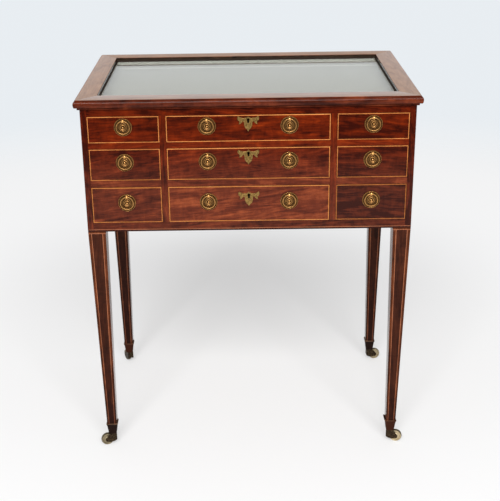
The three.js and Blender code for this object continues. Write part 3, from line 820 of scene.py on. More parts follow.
def wax_and_shade_fillet():
    """The thin dark line between the pane and the rails: old wax, and painted shade in the joint."""
    base = GLASS_HIGH.z + HAIRLINE
    inset = RAIL_WIDTH + HAIRLINE
    section = [(0, 0), (WAX_SIZE * 2 / 3, 0), (WAX_SIZE / 3, WAX_SIZE / 3), (0, WAX_SIZE)]
    rings = []
    for x, y in ((-1, -1), (1, -1), (1, 1), (-1, 1)):
        rings.append([(x * (LID_HALF_WIDTH - inset - reach), y * (LID_HALF_DEPTH - inset - reach),
                       base + rise) for reach, rise in section])
    shape = new_shape()
    add_loft(shape, rings, closed=True)
    return object_from(shape, "wax_and_shade_fillet", [DARK_WAX_AND_SHADE], smooth_angle=30)


def add_screw(shape, centre, rise):
    """A slotted screw head flush with its leaf, as two half discs with the slot between them."""
    for half in (-1, 1):
        outline = [(half * (SCREW_SLOT / 2 + x * (SCREW_RADIUS - SCREW_SLOT / 2)), z * SCREW_RADIUS)
                   for x, z in arc((0, 0), (1, 1), -90, 90)]
        add_plate(shape, outline, rise, turned("X", centre))


def round_bar(inner, outer, length):
    """A lathe profile of a tube or a rod with eased rims."""
    return [(inner, 0, 0), (outer - FINE_EDGE, 0, 0), (outer, FINE_EDGE, 0),
            (outer, length - FINE_EDGE, 0), (outer - FINE_EDGE, length, 0), (inner, length, 0)]


def hinge_half(node, upper):
    """A hinge leaf with its knuckles and screws, and the pin on the lid's half."""
    low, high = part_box(node)
    axis_y = CARCASE_BACK + HINGE_STANDOFF
    axis_z = JOINT_PLACES["lid_lift"].z
    sign = 1 if upper else -1
    near = axis_z + sign * SEAT_GAP / 2
    bottom, top = sorted((near, near + sign * HINGE_LEAF))
    leaf_end = axis_y - HINGE_BARREL - SEAT_GAP
    shape = new_shape()
    add_board(shape, (low.x, low.y, bottom), (high.x, leaf_end, top), edge=FINE_EDGE)
    length = (high.x - low.x - (HINGE_KNUCKLES - 1) * SEAT_GAP) / HINGE_KNUCKLES
    barrel = round_bar(HINGE_PIN, HINGE_BARREL, length)
    for knuckle in range(int(upper), HINGE_KNUCKLES, 2):
        start = low.x + knuckle * (length + SEAT_GAP)
        add_board(shape, (start, leaf_end - EDGE, bottom), (start + length, axis_y, top), edge=FINE_EDGE)
        add_lathe(shape, barrel, turned("Y", (start, axis_y, axis_z)), closed=True)
    if upper:
        pin = round_bar(0, HINGE_PIN - HAIRLINE, high.x - low.x)
        add_lathe(shape, pin, turned("Y", (low.x, axis_y, axis_z)))
    for offset in (-SCREW_SPREAD, 0, SCREW_SPREAD):
        centre = Vector(((low.x + high.x) / 2 + offset, (low.y + leaf_end) / 2, near))
        add_screw(shape, centre, sign * SCREW_PROUD)
    set_layer(shape, "hollow", HINGE_TARNISH)
    return object_from(shape, node + "_brass", [BRASS], smooth_angle=30)


def build_lid():
    """The rails, the pane with its wax, and the hinges."""
    for name in RAILS:
        rail = lid_rail(name)
        if name == "back":
            for cutter in seat_cutters():
                cut(rail, cutter)
        fit(rail, "lid", "mahogany", *(["lid_frame"] if name == "front" else []))
    fit(wax_and_shade_fillet(), "lid", "mahogany")
    pane = frame["nodes"]["lid_glass"].data
    pane.materials.clear()
    pane.materials.append(GLASS)
    for side in SIDES:
        for body in ("carcase", "lid"):
            node = f"hinge_leaf_{body}_{side}"
            fit(hinge_half(node, body == "lid"), body, "brass", node)


# Carcase

WARM_FROM = 0.6
WARM_SPAN = 0.08
UPRIGHT_TONE = -0.3
PARTITION_TONE = -0.1
LONG_RAIL_TONE = -0.22
CROSS_RAIL_TONE = 0.0
# The strip under the carcase's string is darkened as painted shadow along the carcase's bottom edge
EDGE_STRIP_SHADE = -0.6
DRAWER_TONES = {
    "top": {"left": -0.24, "centre": -0.13, "right": -0.3},
    "middle": {"left": -0.27, "centre": -0.12, "right": -0.31},
    "bottom": {"left": -0.15, "centre": 0.03, "right": -0.36},
}
PARTITION_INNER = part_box("drawer_top_centre")[1].x + DRAWER_SIDE_GAP
PARTITION_OUTER = PARTITION_INNER + PARTITION_WIDTH
STRIP_TOP = CARCASE_BOTTOM + EDGE_STRIP_HEIGHT
STRING_TOP = STRIP_TOP + CARCASE_STRING_WIDTH
LIPPING_BACK = CARCASE_FRONT + LIPPING


def warm_by_height(shape):
    """Reddens the front towards its top."""
    set_layer(shape, "warmth", lambda vert: min(max((vert.co.z - WARM_FROM) / WARM_SPAN, 0), 1))


def opening_levels(row):
    """The floor and ceiling of a row's drawer openings."""
    low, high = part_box(f"drawer_{row}_centre")
    return low.z - DRAWER_RUN_GAP, high.z + DRAWER_TOP_GAP


OPENINGS = [opening_levels(row) for row in ROWS]
LOWEST_FLOOR = OPENINGS[-1][0]
HIGHEST_CEILING = OPENINGS[0][1]


def add_lipping(shape, left, right, low, high):
    """A board along the front of the carcase."""
    add_board(shape, (left, CARCASE_FRONT, low), (right, LIPPING_BACK - HAIRLINE, high), edge=FINE_EDGE)


def upright_tone(vert):
    """The tone of the outer uprights, or of the partitions between them."""
    return UPRIGHT_TONE if abs(vert.co.x) > PARTITION_OUTER + HAIRLINE else PARTITION_TONE


def rail_tone(vert):
    """The tone of the strip under the string, darkened as painted shadow along the carcase's bottom edge,
    of the rails between drawers or of the long rails.
    """
    if vert.co.z < STRING_TOP:
        return EDGE_STRIP_SHADE
    if LOWEST_FLOOR + HAIRLINE < vert.co.z < HIGHEST_CEILING - HAIRLINE:
        return CROSS_RAIL_TONE
    return LONG_RAIL_TONE


def build_uprights():
    """The front edges of the sides and partitions, which are lipped with mahogany."""
    shape = new_shape()
    for side in SIDES.values():
        add_lipping(shape, *on_side(side, INNER_HALF_WIDTH, CARCASE_HALF_WIDTH), STRING_TOP, CARCASE_TOP)
        add_lipping(shape, *on_side(side, PARTITION_INNER, PARTITION_OUTER), LOWEST_FLOOR, HIGHEST_CEILING)
    warm_by_height(shape)
    set_layer(shape, "tone", upright_tone)
    add_piece(shape, "front_uprights", [MAHOGANY["z"]], "carcase", "mahogany")


def build_rails():
    """The front edges of the rails over, under and between the drawers."""
    shape = new_shape()
    for low, high in ((HIGHEST_CEILING, CARCASE_TOP), (STRING_TOP, LOWEST_FLOOR)):
        add_lipping(shape, -INNER_HALF_WIDTH, INNER_HALF_WIDTH, low, high)
    add_board(shape, (-CARCASE_HALF_WIDTH, CARCASE_FRONT, CARCASE_BOTTOM),
              (CARCASE_HALF_WIDTH, LIPPING_BACK - HAIRLINE, STRIP_TOP))
    for (floor, _), (_, ceiling) in zip(OPENINGS, OPENINGS[1:]):
        for left, right in ((-INNER_HALF_WIDTH, -PARTITION_OUTER), (-PARTITION_INNER, PARTITION_INNER),
                            (PARTITION_OUTER, INNER_HALF_WIDTH)):
            add_lipping(shape, left, right, ceiling, floor)
    warm_by_height(shape)
    set_layer(shape, "tone", rail_tone)
    add_piece(shape, "front_rails", [MAHOGANY["x"]], "carcase", "mahogany", "drawer_frame")


def build_carcase_string():
    """The string along the bottom of the front and sides."""
    back = LIPPING_BACK - HAIRLINE
    shape = new_shape()
    add_board(shape, (-CARCASE_HALF_WIDTH, CARCASE_FRONT, STRIP_TOP),
              (CARCASE_HALF_WIDTH, back, STRING_TOP), edge=HAIRLINE)
    for side in SIDES.values():
        left, right = on_side(side, CARCASE_HALF_WIDTH - STRING_DEPTH, CARCASE_HALF_WIDTH)
        add_board(shape, (left, back, STRIP_TOP), (right, CARCASE_BACK, STRING_TOP), edge=HAIRLINE)
    add_piece(shape, "carcase_string", [DULL_BOXWOOD["x"]], "carcase", "mahogany")


def build_carcase_sides():
    """The two sides behind the front edges, cut back for the string along the bottom."""
    for name, side in SIDES.items():
        shape = new_shape()
        for reach, low, high, edge in (
            (CARCASE_HALF_WIDTH, STRING_TOP, CARCASE_TOP, EDGE),
            (CARCASE_HALF_WIDTH - STRING_DEPTH, STRIP_TOP, STRING_TOP, HAIRLINE),
            (CARCASE_HALF_WIDTH, CARCASE_BOTTOM, STRIP_TOP, EDGE),
        ):
            left, right = on_side(side, INNER_HALF_WIDTH, reach)
            add_board(shape, (left, LIPPING_BACK, low), (right, CARCASE_BACK, high), edge=edge)
        add_piece(shape, "side_" + name, [MAHOGANY["y"]], "carcase", "mahogany", "side_panel_" + name)


def build_carcase_inside():
    """The plain wood behind the front edges, and the back."""
    inner = copy_of_node("drawer_frame", LIPPING_BACK)
    add_piece(inner, "dust_boards_and_partitions", [PLAIN_WOOD["x"]], "carcase", "carcase_wood")
    for name, node, clip_front in (("carcase_floor", "bottom_board", LIPPING_BACK),
                                   ("carcase_back", "back_panel", None)):
        shape = copy_of_node(node, clip_front)
        soften(shape)
        add_piece(shape, name, [PLAIN_WOOD["x"]], "carcase", "carcase_wood", node)


def tray_slot(face, fold_line):
    """The tray has pale paper, as painted light against shade, on its rim and walls and behind the fold,
    and is lined on its floor.
    """
    centre = face.calc_center_median()
    if centre.z > TRAY_HIGH.z - EDGE:
        return 2
    if face.normal.z > LEVEL_NORMAL and centre.y < fold_line:
        return 1
    outside = (abs(centre.x) > TRAY_HIGH.x - EDGE or centre.y < TRAY_LOW.y + EDGE
               or centre.y > TRAY_HIGH.y - EDGE or centre.z < TRAY_LOW.z + EDGE)
    return 0 if outside else 2


def build_tray():
    """The lined tray under the pane."""
    shape = copy_of_node("display_tray")
    soften(shape)
    # The paper behind the fold line paints light onto the floor's shaded back strip
    fold_line = TRAY_HIGH.y - PAINTED_LIGHT_FOLD
    bmesh.ops.bisect_plane(shape, geom=parts_of(shape), plane_co=(0, fold_line, 0), plane_no=(0, 1, 0))
    for face in shape.faces:
        face.material_index = tray_slot(face, fold_line)
    add_piece(shape, "tray", [PLAIN_WOOD["x"], LINING, PAINTED_LIGHT_PAPER], "carcase", "lining", "display_tray")


# Drawers


def add_inlaid_front(shape, low, high):
    """A drawer front with a boxwood string let into the edges of its face, mitred at the corners."""
    def ring(inset, y):
        left, right, bottom, top = low.x + inset, high.x - inset, low.z + inset, high.z - inset
        return [(left, y, bottom), (right, y, bottom), (right, y, top), (left, y, top)]
    front = low.y
    rings = [ring(0, front + DRAWER_FRONT), ring(0, front + STRING_DEPTH), ring(0, front + FINE_EDGE),
             ring(FINE_EDGE, front), ring(STRING_WIDTH, front)]
    add_loft(shape, rings, lambda span, point: 1 if span > 0 else 0)


def side_outline(length, height):
    """A drawer side seen from the side, with dovetails at its front end."""
    tails = max(2, round(height / TAIL_PITCH))
    pitch = height / tails
    tip = DRAWER_FRONT - TAIL_LENGTH
    end = pitch / 2 - EDGE
    root = end - TAIL_SLOPE_SHARE * pitch
    outline = [(length, 0), (length, height)]
    for tail in reversed(range(tails)):
        centre = tail * pitch + pitch / 2
        outline += [(DRAWER_FRONT, centre + root), (tip, centre + end), (tip, centre - end),
                    (DRAWER_FRONT, centre - root)]
    return outline


def keyhole_outline():
    """A keyhole about the centre of its round head."""
    meets = math.degrees(math.asin(KEY_SLOT_HALF / KEYHOLE_RADIUS))
    head = arc((0, 0), (KEYHOLE_RADIUS, KEYHOLE_RADIUS), meets - 90, 270 - meets, KEYHOLE_STEPS)
    return [(-KEY_SLOT_HALF, -KEY_SLOT_DROP), (KEY_SLOT_HALF, -KEY_SLOT_DROP), *head]


def keyhole_centre(row):
    """The middle of a keyhole's head, on the drawer's face."""
    low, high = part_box("lock_plate_" + row)
    foot_share = LOCK_PLATE_SHARES[-1][3]
    return Vector(((low.x + high.x) / 2, CARCASE_FRONT, low.z - foot_share * LOCK_PLATE_HEIGHT))


def drawer_carton(node, low, high):
    """The drawer's dovetailed sides, its low back and its bottom."""
    shape = new_shape()
    outline = side_outline(high.y - low.y, high.z - low.z - DRAWER_SIDE_DROP)
    for side, edge in ((-1, low.x), (1, high.x)):
        crosswise = Matrix(((0, 1, 0), (1, 0, 0), (0, 0, 1))).to_4x4()
        crosswise.translation = (edge + side * HAIRLINE, low.y, low.z)
        add_plate(shape, outline, -side * DRAWER_WALL, crosswise)
    left, right = low.x + DRAWER_WALL, high.x - DRAWER_WALL
    add_board(shape, (left, high.y - DRAWER_WALL, low.z),
              (right, high.y - HAIRLINE, high.z - DRAWER_BACK_DROP), 1)
    add_board(shape, (left, low.y + DRAWER_FRONT, low.z + EDGE),
              (right, high.y - DRAWER_WALL, low.z + DRAWER_BOTTOM), 1)
    return object_from(shape, node + "_carton", [PLAIN_WOOD["y"], PLAIN_WOOD["x"]])


def tone_front(shape, row, column):
    """Gives a drawer's front its own tone, and the warmth of its height."""
    warm_by_height(shape)
    set_layer(shape, "tone", DRAWER_TONES[row][column])


def cut_keyhole(front, row):
    """Cuts the keyhole through a front, and gives all of it the front's own board again."""
    board = front.data.attributes["board"].data[0].value
    keyhole = new_shape()
    place = Matrix.Translation(keyhole_centre(row) - Vector((0, CUT_OVERRUN, 0)))
    add_plate(keyhole, keyhole_outline(), KEYHOLE_DEPTH + CUT_OVERRUN, place)
    # The keyhole's walls take the dark wax as painted shade inside the keyhole
    for face in keyhole.faces:
        face.material_index = 2
    cut(front, keyhole)
    shape = bmesh.new()
    shape.from_mesh(front.data)
    tone_front(shape, row, "centre")
    set_layer(shape, "board", board)
    shape.to_mesh(front.data)
    shape.free()


def build_drawer(row, column):
    """A drawer's inlaid front, with its keyhole if it locks, and its carton."""
    node = f"drawer_{row}_{column}"
    low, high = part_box(node)
    shape = new_shape()
    add_inlaid_front(shape, low, high)
    tone_front(shape, row, column)
    front = object_from(shape, node + "_front", [MAHOGANY["x"], BOXWOOD, DARK_WAX_AND_SHADE])
    if column == "centre":
        cut_keyhole(front, row)
    fit(front, node, "mahogany", node)
    fit(drawer_carton(node, low, high), node, "carcase_wood")


# Handles

# The turned plate's radius, its height and its tarnish, from the middle of its nub to its back; the crests
# are left bright as rubbed brass and as a painted highlight
PLATE_PROFILE = [
    (0, 0.0050, 0), (0.0008, 0.0049, 0), (0.0013, 0.0045, 0), (0.0018, 0.0039, 0.4),
    (0.0021, 0.0029, 1), (0.0026, 0.0023, 1), (0.0034, 0.0023, 1), (0.0040, 0.0029, 0.8),
    (0.0046, 0.0033, 0.1), (0.0050, 0.0032, 0.3), (0.0055, 0.0025, 1), (0.0061, 0.0018, 1),
    (0.0067, 0.0021, 0.9), (0.0074, 0.0024, 0.5), (0.0080, 0.0022, 0.8), (0.0086, 0.0011, 1),
    (0.0094, 0.0008, 0.9), (0.0110, 0.0009, 0.7), (0.0135, 0.0010, 0.8), (0.0146, 0.0008, 1),
    (0.0153, 0.0008, 1), (0.0157, 0.0013, 0.8), (0.0161, 0.0019, 0.2), (0.0165, 0.0022, 0),
    (0.0168, 0.0020, 0.2), (0.0172, 0.0012, 0.8), (0.0175, 0.0006, 1), (0.0175, 0.0000, 1),
    (0, 0.0000, 1),
]


def handle_plate(name, centre):
    """The turned plate with its rim, grooves and boss, and the drilled ball that holds the ring."""
    shape = new_shape()
    add_lathe(shape, PLATE_PROFILE, turned("X", centre), FINE_FACETS)
    start = math.degrees(math.asin(EYE_RADIUS / BALL_RADIUS))
    ball = [(radius, along, 0) for along, radius in
            arc((0, 0), (BALL_RADIUS, BALL_RADIUS), start, 180 - start, ROUND_STEPS)]
    middle = centre + Vector((0, -BALL_STANDOFF, RING_RADIUS))
    add_lathe(shape, ball, turned("Y", middle), closed=True)
    return object_from(shape, name, [BRASS], smooth_angle=50)


def handle_ring(name, centre):
    """The ring, hanging concentric with its plate, rubbed bright along its front, which is also a painted
    highlight.
    """
    shape = new_shape()
    section = [(radius, rise, 1 - max(rise / RING_WIRE, 0) ** RUBBED_HIGHLIGHT_SHARPNESS) for radius, rise in
               arc((RING_RADIUS, 0), (RING_WIRE, RING_WIRE), 0, 360, ROUND_STEPS)[:-1]]
    middle = centre + Vector((0, -BALL_STANDOFF, 0))
    add_lathe(shape, section, turned("X", middle), FINE_FACETS, closed=True)
    return object_from(shape, name, [BRASS], smooth_angle=60)


def build_handle(row, column, handle):
    """A ring handle, whose plate rides its drawer and whose ring rides its own body."""
    plate_node = f"handle_plate_{row}_{handle}"
    ring_node = f"handle_ring_{row}_{handle}"
    low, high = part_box(plate_node)
    centre = Vector(((low.x + high.x) / 2, CARCASE_FRONT, low.z + PLATE_RADIUS))
    fit(handle_plate(plate_node + "_turned", centre), f"drawer_{row}_{column}", "brass", plate_node)
    fit(handle_ring(ring_node + "_round", centre), f"ring_{row}_{handle}", "brass", ring_node)


# Lock plates

# The right half's curves, each by its bend and its end, in shares of the plate's half width and height
LOCK_PLATE_START_SHARE = 0.21
LOCK_PLATE_SHARES = (
    (0.14, 0.1, 0.4, 0.1),
    (0.66, 0.09, 0.88, 0.225),
    (1, 0.19, 1, 0.08),
    (0.96, -0.06, 0.84, -0.08),
    (0.78, -0.2, 0.86, -0.31),
    (0.6, -0.26, 0.5, -0.1),
    (0.36, -0.1, 0.37, -0.3),
    (0.35, -0.52, 0.13, -0.63),
    (0.05, -0.67, 0, -0.79),
)
PIN_SHARES = ((-0.83, 0.08), (0.83, 0.08), (0, -0.62))
LOCK_TARNISH = 0.7
PIN_TARNISH = 0.2


def batwing_outline():
    """The lock plate's outline: curves down the right half, mirrored on the left."""
    right = [(0, LOCK_PLATE_START_SHARE)]
    for bend_x, bend_z, end_x, end_z in LOCK_PLATE_SHARES:
        right += quadratic(right[-1], (bend_x, bend_z), (end_x, end_z))
    left = [(-x, z) for x, z in reversed(right[1:-1])]
    return [(x * LOCK_PLATE_HALF, z * LOCK_PLATE_HEIGHT) for x, z in right + left]


def pierced_plate(outlines, thickness, bevel):
    """A mesh of a flat plate; the outlines after the first are holes in it."""
    curve = bpy.data.curves.new("outline", "CURVE")
    curve.dimensions = "2D"
    curve.fill_mode = "BOTH"
    curve.extrude = thickness / 2 - bevel
    curve.bevel_depth = bevel
    curve.bevel_resolution = 2
    curve.offset = -bevel
    for outline in outlines:
        spline = curve.splines.new("POLY")
        spline.points.add(len(outline) - 1)
        for point, (x, z) in zip(spline.points, outline):
            point.co = (x, z, 0, 1)
        spline.use_cyclic_u = True
    flat = bpy.data.objects.new("outline", curve)
    bpy.context.scene.collection.objects.link(flat)
    mesh = bpy.data.meshes.new_from_object(flat.evaluated_get(bpy.context.evaluated_depsgraph_get()))
    bpy.data.objects.remove(flat)
    return mesh


def add_pin(shape, place):
    """The low dome of a small pin."""
    dome = [(radius, rise, PIN_TARNISH) for radius, rise in
            arc((0, 0), (PIN_RADIUS, PIN_RADIUS / 2), 0, 90, CORNER_STEPS)]
    back = -PIN_RADIUS / 4
    profile = [(0, back, 1), (PIN_RADIUS, back, 1), *dome[:-1], (0, PIN_RADIUS / 2, 0)]
    add_lathe(shape, profile, turned("X", place))


def build_lock_plate(row):
    """A batwing plate, pierced for the key and held by three small pins."""
    node = "lock_plate_" + row
    low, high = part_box(node)
    thickness = high.y - low.y
    centre = keyhole_centre(row) - Vector((0, thickness / 2, 0))
    mesh = pierced_plate([batwing_outline(), keyhole_outline()], thickness, LOCK_PLATE_BEVEL)
    mesh.transform(turned("X", centre))
    shape = new_shape()
    shape.from_mesh(mesh)
    bmesh.ops.remove_doubles(shape, verts=shape.verts, dist=HAIRLINE / 4)
    face_y = centre.y - thickness / 2 + FINE_EDGE / 2
    set_layer(shape, "hollow", lambda vert: LOCK_TARNISH if vert.co.y < face_y else 1)
    for share_x, share_z in PIN_SHARES:
        place = Vector((share_x * LOCK_PLATE_HALF, -thickness / 2, share_z * LOCK_PLATE_HEIGHT))
        add_pin(shape, centre + place)
    add_piece(shape, node + "_pierced", [LOCK_BRASS], f"drawer_{row}_centre", "aged_brass", node,
              smooth_angle=35)


# Legs and cups

# Materials round a leg's front and its sides, each end's tone, the back legs' darker one being painted
# shade under the table, and how dark the leg gets towards its foot
FRONT_SLOTS = (0, 1, 2, 1, 0, 0)
SIDE_SLOTS = (3, 1, 3, 1, 3, 3)
FACE_SLOTS = (FRONT_SLOTS + SIDE_SLOTS) * 2
LEG_TONES_AND_SHADE = {"front": 0.05, "back": -0.1}
LEG_FOOT_SHADE = 0.5


def leg_frame(corner, height):
    """The leg's centre and size at a height."""
    depth, side = corner.split("_")
    side_x = SIDES[side]
    side_y = 1 if depth == "back" else -1
    share = (height - CUP_TOP_Z) / (CARCASE_BOTTOM - CUP_TOP_Z)
    size = LEG_FOOT + (LEG_TOP - LEG_FOOT) * share
    inset = LEG_OUTER_TAPER * (1 - share) + size / 2
    return Vector((side_x * (CARCASE_HALF_WIDTH - inset), side_y * (CARCASE_BACK - inset), height)), size


def leg_ring(corner, height, string_inset):
    """A square section with eased corners, and points at both edges of each string."""
    centre, size = leg_frame(corner, height)
    stops = [EDGE, string_inset, string_inset + LEG_STRING_WIDTH, size - string_inset - LEG_STRING_WIDTH,
             size - string_inset, size - EDGE]
    ring = []
    for turn in range(4):
        quarter = Matrix.Rotation(turn * math.pi / 2, 3, "Z")
        ring += [centre + quarter @ Vector((stop - size / 2, -size / 2, 0)) for stop in stops]
    return ring


def build_leg(corner):
    """A tapered leg with a string down both edges of each face, and a darker band between them on its
    front and back."""
    band_top = CARCASE_BOTTOM - LEG_BAND_DROP
    levels = ((CUP_TOP_Z - CUP_LIP, LEG_STRING_INSET_FOOT),
              (band_top - LEG_STRING_WIDTH, LEG_STRING_INSET_TOP), (band_top, LEG_STRING_INSET_TOP),
              (CARCASE_BOTTOM - HAIRLINE, LEG_STRING_INSET_TOP))
    shape = new_shape()
    add_loft(shape, [leg_ring(corner, height, inset) for height, inset in levels],
             lambda span, point: (FACE_SLOTS[point], 1, 0)[span])
    # The back legs' darker tone is painted shade under the table
    tone = LEG_TONES_AND_SHADE[corner.split("_")[0]]
    set_layer(shape, "tone", lambda vert: tone - LEG_FOOT_SHADE * (1 - vert.co.z / CARCASE_BOTTOM))
    materials = [LEG_MAHOGANY, DULL_BOXWOOD["z"], DARK_MAHOGANY, POLISHED_MAHOGANY]
    add_piece(shape, f"leg_{corner}_inlaid", materials, "carcase", "mahogany", "leg_" + corner)


# Each cup's lip: which way it is sprung, how far out and how far up
CUP_BENDS = {
    "front_left": (1, -1, 0.0010, 0.0030),
    "front_right": (-1, 0, 0.0017, 0.0034),
    "back_left": (1, -1, 0.0009, 0.0024),
    "back_right": (-1, -1, 0.0006, 0.0012),
}
UNBENT_SHARE = 0.45
LIP_TARNISH = 0.4


def rounded_square(centre, size, radius, height):
    """A square ring with rounded corners."""
    points = []
    for turn, (x, y) in enumerate(((1, 1), (-1, 1), (-1, -1), (1, -1))):
        middle = (centre.x + x * (size / 2 - radius), centre.y + y * (size / 2 - radius))
        points += [Vector((*point, height)) for point in
                   arc(middle, (radius, radius), turn * 90, turn * 90 + 90, CORNER_STEPS)]
    return points


def spring_lip(ring, centre, bend):
    """Bends the side of a lip outwards and up."""
    lean_x, lean_y, spring, lift = bend
    full = CUP_LIP_SIZE / 2 * (abs(lean_x) + abs(lean_y))
    for point in ring:
        reach = (lean_x * (point.x - centre.x) + lean_y * (point.y - centre.y)) / full
        share = max(0, reach - UNBENT_SHARE) / (1 - UNBENT_SHARE)
        point += Vector((lean_x * spring * share, lean_y * spring * share, lift * share * share))


def build_cup(corner):
    """The square brass cup on the leg's foot, with its thin lip a little sprung on one side."""
    centre, foot = leg_frame(corner, CUP_TOP_Z)
    lip_foot = CUP_TOP_Z - CUP_LIP
    body = (
        (CUP_FOOT_SIZE - 2 * EDGE, CUP_FOOT_Z),
        (CUP_FOOT_SIZE, CUP_FOOT_Z + EDGE),
        (CUP_SHOULDER_SIZE, CUP_FOOT_Z + CUP_SHOULDER),
        (CUP_LIP_SIZE - EDGE, lip_foot),
    )
    lip = (
        (CUP_LIP_SIZE, lip_foot + EDGE),
        (CUP_LIP_SIZE, CUP_TOP_Z - EDGE),
        (CUP_LIP_SIZE - EDGE, CUP_TOP_Z),
    )
    rings = [rounded_square(centre, size, CUP_CORNER, height) for size, height in body + lip]
    for ring in rings[len(body):]:
        spring_lip(ring, centre, CUP_BENDS[corner])
    rings += [rounded_square(centre, foot + FINE_EDGE, EDGE, height) for height in (CUP_TOP_Z, lip_foot)]
    shape = new_shape()
    add_loft(shape, rings)
    rubbed_from = CUP_TOP_Z - EDGE * 3 / 2
    set_layer(shape, "hollow", lambda vert: LIP_TARNISH if vert.co.z > rubbed_from else 1)
    add_piece(shape, "caster_cup_" + corner, [CUP_BRASS[corner]], "carcase", "aged_brass", smooth_angle=35)


# Casters

# The least tarnish of each wheel
WHEEL_TARNISH = {"front_left": 0.75, "front_right": 0.1, "back_left": 0.9, "back_right": 0.5}


def caster_place(corner):
    """The caster's own frame, with its origin on the floor under the swivel and +X the way it
    trails, and the length of the trail."""
    swivel = JOINT_PLACES["caster_swivel_" + corner]
    trail = (JOINT_PLACES["caster_roll_" + corner] - swivel).to_2d()
    yaw = math.atan2(trail.y, trail.x)
    return Matrix.Translation((swivel.x, swivel.y, 0)) @ Matrix.Rotation(yaw, 4, "Z"), trail.length


def cheek_outline(trail, top):
    """A horn's cheek from the side, from its back down to the axle's eye and up to its plate."""
    foot = (-HORN_BACK_REACH, HORN_FOOT_Z)
    eye = arc((trail, WHEEL_RADIUS), (HORN_EYE, HORN_EYE), -90, 45, EYE_STEPS)
    low_curve = quadratic(foot, (-HORN_BACK_REACH / 2, HORN_LOWEST_Z), (trail / 2, HORN_LOWEST_Z))
    high_curve = quadratic(eye[-1], (trail - HORN_EYE / 2, top - HORN_EYE / 2), (HORN_PLATE_REACH, top))
    return [(-HORN_BACK_REACH, top), foot, *low_curve, *eye, *high_curve]


def add_axle(shape, trail, outer):
    """The axle between the horn's cheeks, with its riveted ends."""
    rivet = AXLE_RADIUS * 3 / 2
    half = [(0, outer + HORN_GAP, 0), (rivet / 2, outer + HORN_GAP, 0), (rivet, outer + HAIRLINE, 0),
            (AXLE_RADIUS, outer, 1)]
    add_lathe(shape, half + reflected(half), turned("X", (trail, 0, WHEEL_RADIUS), -1))


def build_horn(corner):
    """The forked horn: swivel plate, back, two cheeks with the axle between them, and the stem."""
    place, trail = caster_place(corner)
    top = CUP_FOOT_Z - SEAT_GAP
    inner = WHEEL_HALF + HORN_GAP
    outer = inner + HORN_CHEEK
    shape = new_shape()
    for near in (-outer, inner):
        add_plate(shape, cheek_outline(trail, top), HORN_CHEEK, Matrix.Translation((0, near, 0)),
                  FINE_EDGE * 2)
    add_board(shape, (-HORN_BACK_REACH, -outer + EDGE, HORN_FOOT_Z),
              (HORN_PLATE - HORN_BACK_REACH, outer - EDGE, top))
    add_board(shape, (-HORN_BACK_REACH + EDGE, -outer + EDGE, top - HORN_PLATE),
              (HORN_PLATE_REACH, outer - EDGE, top - HAIRLINE))
    stem_low, stem_high = top - HORN_PLATE / 2, CUP_FOOT_Z + EDGE
    stem = [(0, stem_low, 1), (STEM_RADIUS, stem_low, 1), (STEM_RADIUS, stem_high, 1), (0, stem_high, 1)]
    add_lathe(shape, stem, Matrix.Identity(4))
    add_axle(shape, trail, outer)
    bmesh.ops.transform(shape, matrix=place, verts=shape.verts)
    set_layer(shape, "hollow", 1)
    node = "caster_horn_" + corner
    add_piece(shape, node + "_cast", [HORN_BRASS], "horn_" + corner, "aged_brass", node, smooth_angle=40)


def build_wheel(corner):
    """The turned brass wheel, dished between hub and rim, with a crowned tread."""
    place, trail = caster_place(corner)
    dish = WHEEL_HALF - WHEEL_DISH
    half = [
        (AXLE_RADIUS + AXLE_PLAY, WHEEL_HALF, 1), (HUB_RADIUS - EDGE, WHEEL_HALF, 0.2),
        (HUB_RADIUS, WHEEL_HALF - EDGE, 0.2), (HUB_RADIUS + WHEEL_DISH, dish, 0.3),
        (RIM_INNER - EDGE, dish, 0.3), (RIM_INNER, WHEEL_HALF - EDGE, 0.2),
        (RIM_INNER + EDGE, WHEEL_HALF, 0.1), (WHEEL_RADIUS - 3 * EDGE, WHEEL_HALF, 0.3),
        (WHEEL_RADIUS - EDGE, WHEEL_TREAD_HALF, 1), (WHEEL_RADIUS - HAIRLINE, WHEEL_TREAD_HALF / 2, 1),
        (WHEEL_RADIUS, 0, 1),
    ]
    least = WHEEL_TARNISH[corner]
    profile = [(radius, across, max(hollow, least))
               for radius, across, hollow in half + reflected(half[:-1])]
    shape = new_shape()
    add_lathe(shape, profile, place @ turned("X", (trail, 0, WHEEL_RADIUS), -1), closed=True)
    node = "caster_wheel_" + corner
    add_piece(shape, node + "_turned", [WHEEL_BRASS], "wheel_" + corner, "aged_brass", node,
              smooth_angle=35)


# Stage

FLOOR_RADIUS = 2.8
FADE_STEPS = (1.7, FLOOR_RADIUS)
FLOOR_COLOURS = ((0.945, 0.945, 0.945), (0.97, 0.972, 0.978))
BACKDROP_COLOUR = (0.81, 0.85, 0.885)
ROOM_COLOUR = (0.1, 0.1, 0.105)
OVERHEAD_COLOUR = (0.6, 0.585, 0.54)
AMBIENT_COLOUR = (0.4, 0.4, 0.4)
# The floor's clouds and how its paleness is made up; how much of it is seen plain, near and far
FLOOR_CLOUDS = (0.8, 2)
CLOUD_SHARE = 0.3
REACH_SHARE = 0.6
PALENESS_STOPS = (0.3, 0.8)
PLAIN_STEPS = (0.7, 1.5)
NEAR_PLAIN_SHARE = 0.4
FAR_PLAIN_SHARE = 0.3
